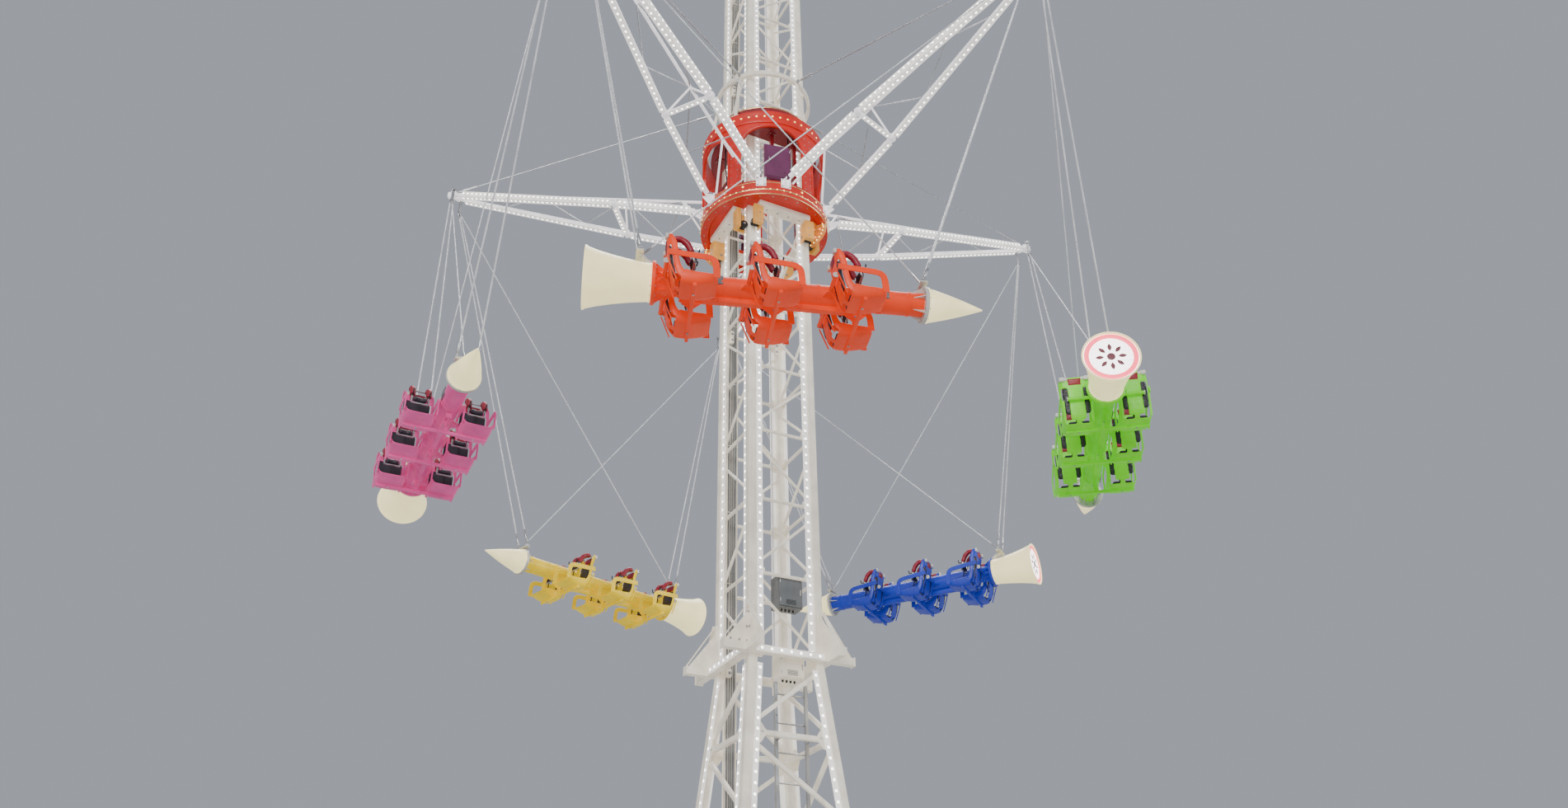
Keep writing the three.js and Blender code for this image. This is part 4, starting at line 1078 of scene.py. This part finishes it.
def flange(shape, x, radius, way, slot=0):
    """Flange of the boom with its bolts and stiffening ribs on the boom's side."""
    low, high = sorted((x, x + way * 0.05))
    shape.lathe([(BOOM_R, low), (radius - 0.006, low), (radius, low + 0.006), (radius, high - 0.006),
                 (radius - 0.006, high), (BOOM_R, high)], ALONG, 48, slot)
    face = x + way * 0.05
    for t in circle(12, 0.5):
        shape.bolt(spoke(t) * (radius - 0.035) + X * face, X * way, 0.011, 1)
    low, high = face - way * 0.005, face + way * 0.16
    for out in map(spoke, circle(6)):
        rib = [(BOOM_R - 0.01, low), (radius - 0.02, low), (BOOM_R - 0.01, high)]
        shape.slab(rib, 0.01, basis(Vector(), out, X, out.cross(X)), slot)


def lug(shape, place, foot):
    """Cable plate of a boom: a plate across it, its post, two braces and bolts."""
    x, z = place
    top = z - 0.0405
    shape.block((x, 0, top), (0.105, 2 * CABLE_SPREAD + 0.05, 0.028), 3, 0.006)
    shape.bar((foot[0], 0, foot[1]), (x, 0, top), 0.075, 0.05, 3, side=Y)
    for side in (-1, 1):
        below = ((x + foot[0]) / 2, 0.02 * side, (top + foot[1]) / 2)
        shape.bar((x, 0.1 * side, top), below, 0.012, 0.05, 3, side=Y)
        for ahead in (-0.032, 0.032):
            shape.bolt((x + ahead, side * 0.055, top + 0.014), Z, 0.009, 1)


def boom(index, colour):
    """Painted tube with bands, flanges, lugs, the seats' cross tubes and two covers."""
    shape = Shape(gondola_frame(index))
    skin = BOOM_R - 0.003
    profile = [(0.02, TAIL_X + 0.002), (skin, TAIL_X + 0.002)]
    for x in (-1.62, -0.95, -0.3, 0.35, 1.05, 1.6):
        for rise, step in ((0, -0.016), (0.008, -0.012), (0.008, 0.012), (0, 0.016)):
            profile.append((skin + rise, x + step))
    profile += [(skin, NOSE_X - 0.002), (0.02, NOSE_X - 0.002)]
    shape.lathe(profile, ALONG, BOOM_SIDES)
    flange(shape, TAIL_X, TAIL_FLANGE_R, 1)
    flange(shape, NOSE_X, NOSE_FLANGE_R, -1, 3)
    lug(shape, TAIL_LUG, (TAIL_X + 0.025, TAIL_FLANGE_R - 0.02))
    lug(shape, NOSE_LUG, (NOSE_X - 0.025, NOSE_FLANGE_R - 0.02))
    for row in SEAT_ROWS:
        x = row - 0.364
        reach = SEAT_OFFSET + 0.145
        shape.rod((x, 0, -0.06), reach * Y, 0.029, 16)
        for out in (-Y, Y):
            collar = Vector((x, 0, -0.06))
            shape.stem(collar, out, [(BOOM_R - 0.03, 0.052), (BOOM_R + 0.012, 0.052)], 16)
            shape.stem(collar, out, [(reach, 0.04), (reach + 0.008, 0.04)], 16, 3)
            shape.slab([(-0.1, 0), (0.1, 0), (0.045, 0.13), (-0.045, 0.13)], 0.01,
                       basis(Vector((x, 0, -0.09)) + out * (BOOM_R - 0.045), X, out, X.cross(out)))
    for x in (-1.05, 1.2):
        shape.block((x, -BOOM_R + 0.004, 0.02), (0.22, 0.016, 0.14), 2, 0.004)
        for dx, dz in square(0.09, 0.05):
            shape.bolt((x + dx, -BOOM_R - 0.004, 0.02 + dz), -Y, 0.005, 1)
    paints = [BODY[colour], STEEL, GREY, PALE_STEEL]
    hung(shape, colour, "boom_detail", paints, f"{colour}_boom", "boom", sharp=30)


def nose(index, colour):
    """Pointed nose in glass fibre, with a bolted lip, two moulding seams and a small tip."""
    shape = Shape(gondola_frame(index))
    base = NOSE_X + 0.001
    length, radius = 0.815, 0.249
    profile = [(0.02, base), (radius, base), (radius, base + 0.022), (radius - 0.008, base + 0.028)]
    for i in range(1, 13):
        t = i / 12
        bulge = 0.012 * sin(pi * t)
        profile.append(((radius - 0.008) * (1 - t) + 0.016 * t + bulge, base + 0.028 + (length - 0.05) * t))
    profile += [(0.012, base + length - 0.01), (0.004, base + length - 0.002)]
    shape.lathe(profile, ALONG, 48)
    for side in (-1, 1):
        seam = []
        for t in QUARTER_STEPS:
            y = (radius - 0.008) * (1 - t) + 0.04 * t + 0.01 * sin(pi * t)
            seam.append((base + 0.04 + (length - 0.12) * t, side * y, 0))
        shape.tube(seam, 0.005, 6)
    for out in map(spoke, circle(10, 0.25)):
        shape.bolt(out * (radius - 0.001) + X * (base + 0.011), out, 0.005, 1)
    hung(shape, colour, "nose_shell", [CREAM, STEEL], "cream_shell", "nose", sharp=40)


def tail(index, colour):
    """Flared tail: a thin bell with a rolled lip, and a lit disc with a ring of petals in its mouth."""
    shape = Shape(gondola_frame(index))
    base = TAIL_X - 0.001
    length = 0.879
    outer = [(0.262, 0.0), (0.264, 0.025), (0.256, 0.032), (0.262, 0.1), (0.285, 0.28), (0.322, 0.5),
             (0.366, 0.7), (0.405, 0.83), (0.424, 0.86), (0.429, 0.87), (0.424, length)]
    inner = [(0.408, length), (0.402, 0.865), (0.396, 0.83), (0.35, 0.68), (0.305, 0.48), (0.27, 0.27),
             (0.245, 0.08), (0.12, 0.02), (0.12, 0.0)]
    back = basis((base, 0, 0), Y, -Z, -X)
    shape.lathe(outer + inner, back, 48, closed=True)
    shape.lathe([(0.02, 0.838), (0.397, 0.838), (0.4, 0.846), (0.397, 0.852), (0.02, 0.852)], back, 48, 1)
    rim = [(0.318, 0.85), (0.392, 0.85), (0.39, 0.86), (0.356, 0.864), (0.32, 0.86)]
    shape.lathe(rim, back, 48, 2, closed=True)
    place = back @ Matrix.Translation((0, 0, 0.8535))
    edge = [(t, 0.032 * sin(pi * t)) for t in QUARTER_STEPS]
    petal = [(0.1 + 0.13 * t, y) for t, y in edge] + [(0.1 + 0.13 * t, -y) for t, y in edge[3:0:-1]]
    for t in circle(8):
        shape.slab(petal, 0.005, place @ turned(t), 3, 0.001)
    shape.lathe([(0.003, -0.002), (0.062, -0.002), (0.06, 0.003), (0.003, 0.005)], place, 24, 3)
    for t in circle(20):
        shape.lamp(back @ polar(0.29, t, 0.851), -X, 0.012, 0.014, 3, 1)
    for out in map(spoke, circle(12, 0.5)):
        shape.bolt(out * 0.263 + X * (base - 0.013), out, 0.005, 4)
    paints = [CREAM, DISC, DISC_RIM, DISC_MARK, STEEL]
    hung(shape, colour, "tail_bell", paints, "cream_shell", "tail", sharp=40)


def seats(shape, index):
    """Put the shape's matrix at each seat of a gondola in its turn."""
    for side in (-1, 1):
        for row in SEAT_ROWS:
            shape.matrix = gondola_frame(index) @ Matrix.Translation((row, side * SEAT_OFFSET, 0))
            yield


WINDOW_ROWS = range(3, 15)
BEND_ROW = 13  # where the back turns into the pan
FLAT, FLAT_WIDTH = 0.56, 0.74  # of the columns before a side begins to curl, and of the width they take
CORNER_CUT, CORNER_ROWS = 0.1, 2.5  # how far the shell narrows at its two ends, and over how many rows


def bucket(shape):
    """Moulded shell whose sides curve into wings, with two long windows that hook inward at the bend."""
    columns, steps = 16, 3
    line = smooth_line([(x, 0, z) for x, z in SHELL_LINE], steps)
    depths = smooth_line([(d, 0, 0) for d in WING_DEPTHS], steps)
    count = len(line)
    grid = []
    for i, point in enumerate(line):
        way = (line[min(i + 1, count - 1)] - line[max(i - 1, 0)]).normalized()
        front = way.cross(Y)
        if front.x < 0 and i < count // 2:
            front = -front
        end = min(i, count - 1 - i)
        half = SEAT_HALF * (1 - CORNER_CUT * max(0.0, 1 - end / CORNER_ROWS) ** 2)
        row = []
        for j in range(columns + 1):
            u = 2 * j / columns - 1
            side = math.copysign(1, u)
            turn = max(0.0, abs(u) - FLAT) / (1 - FLAT) * pi / 2
            y = half * (FLAT_WIDTH * min(abs(u), FLAT) / FLAT + (1 - FLAT_WIDTH) * sin(turn))
            lift = depths[i].x * (1 - cos(turn)) + 0.01 * u ** 2
            row.append(point + Y * side * y + front * lift)
        grid.append(row)
    faces = []
    wide = columns + 1
    for i in range(count - 1):
        for j in range(columns):
            window = 2 <= min(j, columns - 1 - j) <= (4 if i < BEND_ROW else 6)
            if not (i in WINDOW_ROWS and window):
                first = i * wide + j
                faces.append([first, first + 1, first + wide + 1, first + wide])
    shape.add([p for row in grid for p in row], faces)


def seat_shells(index, colour):
    """The six moulded seats of a gondola."""
    shape = Shape()
    for _ in seats(shape, index):
        bucket(shape)
    hung(shape, colour, "seat_shells", [BODY[colour]], f"{colour}_seat", "seats", sharp=50,
         modifiers=[("SOLIDIFY", {"thickness": SHELL_THICK, "offset": 0.0}),
                    ("SUBSURF", {"levels": 1, "render_levels": 1})])


def band(shape, path, wide, deep):
    """Flat band along a path in a plane of fixed y, wide across that plane."""
    rings = []
    for i, point in enumerate(path):
        along = (path[min(i + 1, len(path) - 1)] - path[max(i - 1, 0)]).normalized()
        out = along.cross(Y)
        rings.append([point + Y * u + out * v for u, v in chamfered(wide / 2, deep / 2, wide * 0.25)])
    shape.rings(rings)


ARM_LOOP = [(-0.35, 0.014), (-0.15, -0.004), (0.05, -0.022), (0.17, -0.036), (0.238, -0.075),
            (0.262, -0.15), (0.27, -0.25), (0.275, -0.345)]
KEEL_Z = -BOOM_R - 0.0454
CROSS_BAR_Z = -0.442


def seat_frames(index, colour):
    """Keel, cross bars, arm loops, back brackets and the shoulder restraints' tubes of a gondola."""
    shape = Shape(gondola_frame(index))
    shape.bar((SEAT_ROWS[0] - 0.149, 0, KEEL_Z), (SEAT_ROWS[2] + 0.149, 0, KEEL_Z), 0.089)
    for row in SEAT_ROWS:
        shape.bar((row, -SEAT_OFFSET - 0.2, CROSS_BAR_Z), (row, SEAT_OFFSET + 0.2, CROSS_BAR_Z), 0.048)
        shape.bar((row, 0, KEEL_Z - 0.04), (row, 0, CROSS_BAR_Z), 0.068, side=X)
        for way in (-1, 1):
            gusset = [(0.03, -0.04), (0.17, -0.04), (0.03, -0.16)]
            shape.slab(gusset, 0.012, basis((row, 0, KEEL_Z), way * X, Z, -way * Y))
            shape.bolt((row, way * 0.035, KEEL_Z - 0.1), way * Y, 0.012, 2)
    for _ in seats(shape, index):
        for y in (-0.21, 0.21):
            shape.bar((-0.352, y, -0.075), (-0.232, y, -0.395), 0.03, 0.012)
        shape.bolt((0, 0, CROSS_BAR_Z - 0.025), -Z, 0.012, 2)
        for edge in (-1, 1):
            band(shape, smooth_line([(x, edge * SEAT_HALF, z) for x, z in ARM_LOOP], 3), 0.016, 0.088)
            shape.block((-0.374, edge * 0.185, 0.292), (0.045, 0.085, 0.07), 1, 0.01)
            y = edge * RESTRAINT_HALF
            shape.block((-0.35, y, 0.298), (0.06, 0.05, 0.05), 1, 0.008)
            shape.tube(smooth_line([(x, y, z) for x, z in RESTRAINT_LINE], 4), 0.016, 10, 2)
            shape.tube([(-0.03, y, 0.1), (0.045, y, 0.112), (0.055, y, 0.17)], 0.011, 8, 3)
        low = Vector((-0.005, 0, -0.04))
        shape.rod(low, RESTRAINT_HALF * Y, 0.018, 10, 2)
        shape.rod((-0.26, 0, 0.317), RESTRAINT_HALF * Y, 0.013, 8, 2)
        shape.bar(low, (0.055, 0, -0.375), 0.026, 0.01, 3, side=Y)
        shape.block((0.055, 0, -0.385), (0.07, 0.06, 0.035), 2, 0.006)
    hung(shape, colour, "seat_frames", [BODY[colour], PALE_STEEL, STEEL, BLACK], f"{colour}_seat", sharp=30)


PAD_FRAMES = 14
PAD_CAP = 0.02  # the furthest that a point of a pad may be puffed
EDGE_RISE, SEAM_RISE = 0.35, 0.55  # of a pad's thickness, at its edge and at a seam


def pad_mesh(grid, thick, seams, name):
    """Closed pad over rows of points, puffed by a short cloth run while its edge and seams are held.

    The grid holds (point, normal); seams are the rows that are sewn down.
    """
    rows, columns = len(grid), len(grid[0])
    points, faces, held = [], [], []
    for layer in (0, 1):
        for i, row in enumerate(grid):
            for j, (point, normal) in enumerate(row):
                at_edge = min(j, columns - 1 - j, i, rows - 1 - i) == 0
                share = SEAM_RISE if i in seams else EDGE_RISE if at_edge else 1.0
                if layer == 0 or at_edge or i in seams:
                    held.append(len(points))
                points.append(point + normal * layer * thick * share)
    top = rows * columns
    for i in range(rows - 1):
        for j in range(columns - 1):
            a, d = i * columns + j, (i + 1) * columns + j
            faces.append([a, d, d + 1, a + 1])
            faces.append([top + a, top + a + 1, top + d + 1, top + d])
    rim = [*range(columns), *range(2 * columns - 1, top, columns)]
    rim += [*range(top - 2, top - columns - 1, -1), *range(top - 2 * columns, 0, -columns)]
    faces += [[a, b, top + b, top + a] for a, b in zip(rim, rim[1:] + rim[:1])]
    body = mesh_object(name, points, faces)
    group = body.vertex_groups.new(name="held")
    group.add(held, 1.0, "REPLACE")
    cloth = body.modifiers.new("Cloth", "CLOTH")
    values = cloth.settings
    values.vertex_group_mass = "held"
    values.use_pressure = True
    values.uniform_pressure_force = 5.0
    values.effector_weights.gravity = 0.0
    values.tension_stiffness = values.compression_stiffness = 12.0
    values.bending_stiffness = 1.0
    values.quality = 6
    cloth.point_cache.frame_end = PAD_FRAMES
    scene = bpy.context.scene
    for number in range(1, PAD_FRAMES + 1):
        scene.frame_set(number)
    seen = body.evaluated_get(bpy.context.evaluated_depsgraph_get())
    puffed = [v.co.copy() for v in seen.data.vertices]
    scene.frame_set(1)
    bpy.data.objects.remove(body)
    final = []
    for before, after in zip(points, puffed):
        move = after - before
        if move.length > PAD_CAP:
            move = move.normalized() * PAD_CAP
        final.append(before + move)
    return final, faces


def pad_grid(line, width, rows, columns):
    """Grid of points and normals along a line of (x, z), narrowing a little at its corners."""
    path = smooth_line([(x, 0, z) for x, z in line], 6)
    grid = []
    for i in range(rows):
        t = i / (rows - 1) * (len(path) - 1)
        k = min(int(t), len(path) - 2)
        point = path[k].lerp(path[k + 1], t - k)
        along = (path[k + 1] - path[k]).normalized()
        normal = Y.cross(along)
        end = min(i, rows - 1 - i) / (rows - 1)
        half = width / 2 * (1 - 0.16 * max(0.0, 1 - end / 0.14) ** 2)
        grid.append([(point + Y * half * (2 * j / (columns - 1) - 1), normal) for j in range(columns)])
    return grid


PADS = [  # name, cover, line of (x, z), width, rows, columns, thickness, rows sewn down, fill
    ("back_pad", VINYL, [(-0.318, 0.16), (-0.3, 0.02), (-0.278, -0.14), (-0.25, -0.27)],
     0.4, 22, 15, 0.026, (5, 10, 15), 0.75),
    ("seat_pad", VINYL, [(-0.19, -0.368), (-0.05, -0.392), (0.12, -0.374), (0.25, -0.342)],
     0.33, 20, 13, 0.026, (6, 13), 0.75),
    ("head_pad", MAROON, [(-0.352, 0.312), (-0.335, 0.25), (-0.322, 0.185)], 0.24, 12, 11, 0.034, (), 0.85),
]


def pads():
    """Back, seat and head pads of one seat, each puffed once and then set in every seat."""
    return [(name, cover, *pad_mesh(pad_grid(*grid), thick, seams, name), fill)
            for name, cover, *grid, thick, seams, fill in PADS]


def foam(points, radius):
    """Path and radii of a foam sleeve: rounded ends and a slight waist at each sewn ring."""
    path = smooth_line(points, 5)
    radii = []
    for i in range(len(path)):
        end = min(i, len(path) - 1 - i)
        radii.append(radius * (0.9 if i % 6 == 0 else 1.0) * (0.8, 0.93, 1)[min(end, 2)])
    return path, radii


def upholstery(index, colour, made):
    """All pads of a gondola, one object for each kind, and the restraints' foam."""
    for name, cover, points, faces, fill in made:
        shape = Shape()
        for _ in seats(shape, index):
            shape.add(points, faces)
        piece = hung(shape, colour, f"{name}s", [cover], f"{colour}_seat", sharp=60)
    shape = Shape()
    chest = [(-0.022 + 0.02 * abs(t), 0.1 * t, 0.03) for t in (-1, -0.5, 0, 0.5, 1)]
    for _ in seats(shape, index):
        for edge in (-1, 1):
            sleeve = [(x, edge * RESTRAINT_HALF, z) for x, z in RESTRAINT_LINE[1:5]]
            shape.tube(*foam(sleeve, 0.046), 12)
        shape.tube(*foam(chest, 0.04), 12, 1)
    piece = hung(shape, colour, "restraint_foam", [MAROON, VINYL], f"{colour}_seat", sharp=60)


def cables(index, colour):
    """Wire ropes from an arm's pins to the lugs, with eye plates, sockets, turnbuckles and tie plates."""
    shape = Shape(gondola_frame(index))
    top = TIP_Z - BOOM_Z
    eye = [(0.0232, -0.017), (0.05, -0.017), (0.052, -0.012)]
    eye += [(r, -z) for r, z in reversed(eye)]
    for end, (x, z), far in ((-1, TAIL_LUG, NOSE_LUG), (1, NOSE_LUG, TAIL_LUG)):
        hang = Vector((end * HANG_X + TRAIL, 0, top))
        shape.lathe(eye, basis(hang, Y, Z, X), 32, closed=True)
        shape.bar(hang - Z * 0.04, hang - Z * 0.3, 0.034, 0.06, side=X)
        shape.block(hang - Z * 0.315, (0.034, 0.105, 0.055), 0, 0.008)
        shape.bolt(hang + X * 0.017 - Z * 0.29, X, 0.011)
        for y in (-CABLE_SPREAD, CABLE_SPREAD):
            start = hang + Y * math.copysign(0.03, y) - Z * 0.315
            finish = Vector((x, y, z + 0.004))
            way = (start - finish).normalized()
            shape.tube([finish + way * 0.3, start - way * 0.1], 0.0145, 8, 1)
            shape.stem(start, -way, [(0, 0.018), (0.03, 0.023), (0.11, 0.021), (0.13, 0.0145)], 10)
            shape.stem(finish, way, [(0, 0.01), (0.05, 0.01)], 8)
            shape.stem(finish, way, [(0.04, 0.015), (0.06, 0.024), (0.2, 0.024), (0.22, 0.015)], 10)
            shape.stem(finish, way, [(0.21, 0.015), (0.32, 0.018)], 8)
            shape.tube([(x, y, z - 0.02), (x, y, z + 0.014)], 0.02, 12)
        start = hang + X * (end * 0.022) - Z * 0.29
        finish = Vector((far[0], end * 0.04, far[1] + 0.004))
        way = (start - finish).normalized()
        shape.tube([finish + way * 0.22, start - way * 0.08], 0.0105, 8, 1)
        shape.stem(start, -way, [(0, 0.013), (0.09, 0.011)], 8)
        shape.stem(finish, way, [(0, 0.009), (0.06, 0.016), (0.18, 0.016), (0.24, 0.009)], 8)
        shape.block((x, 0, z - 0.01), (0.066, 2 * CABLE_SPREAD + 0.05, 0.028), 0, 0.006)
    hung(shape, colour, "wire_ropes", [STEEL, ROPE], "galvanised", "cables")


sewn = pads()
for index, colour in enumerate(COLOURS):
    for build in (boom, nose, tail, seat_shells, seat_frames):
        build(index, colour)
    upholstery(index, colour, sewn)
    cables(index, colour)


def paint_nodes():
    """A finish for every CAD node that shows as it is."""
    looks = {"hoist_rope_loop": ROPE, "access_ladder": STEEL, "hoist_winch": STEEL, "head_sheave": STEEL,
             "carriage_cage": DEEP_RED, "head_lower_ring": RED, "head_shell": RED, "top_beacon": RED}
    for name, node in frame["nodes"].items():
        look = looks.get(name) or BODY.get(name.split("_")[0], WHITE)
        if name.startswith("guide_roller"):
            look = WARM_PAINT
        if name.endswith(("_nose", "_tail")):
            look = CREAM
        if name.endswith("_cables"):
            look = ROPE
        node.data.materials.clear()
        node.data.materials.append(look)


paint_nodes()
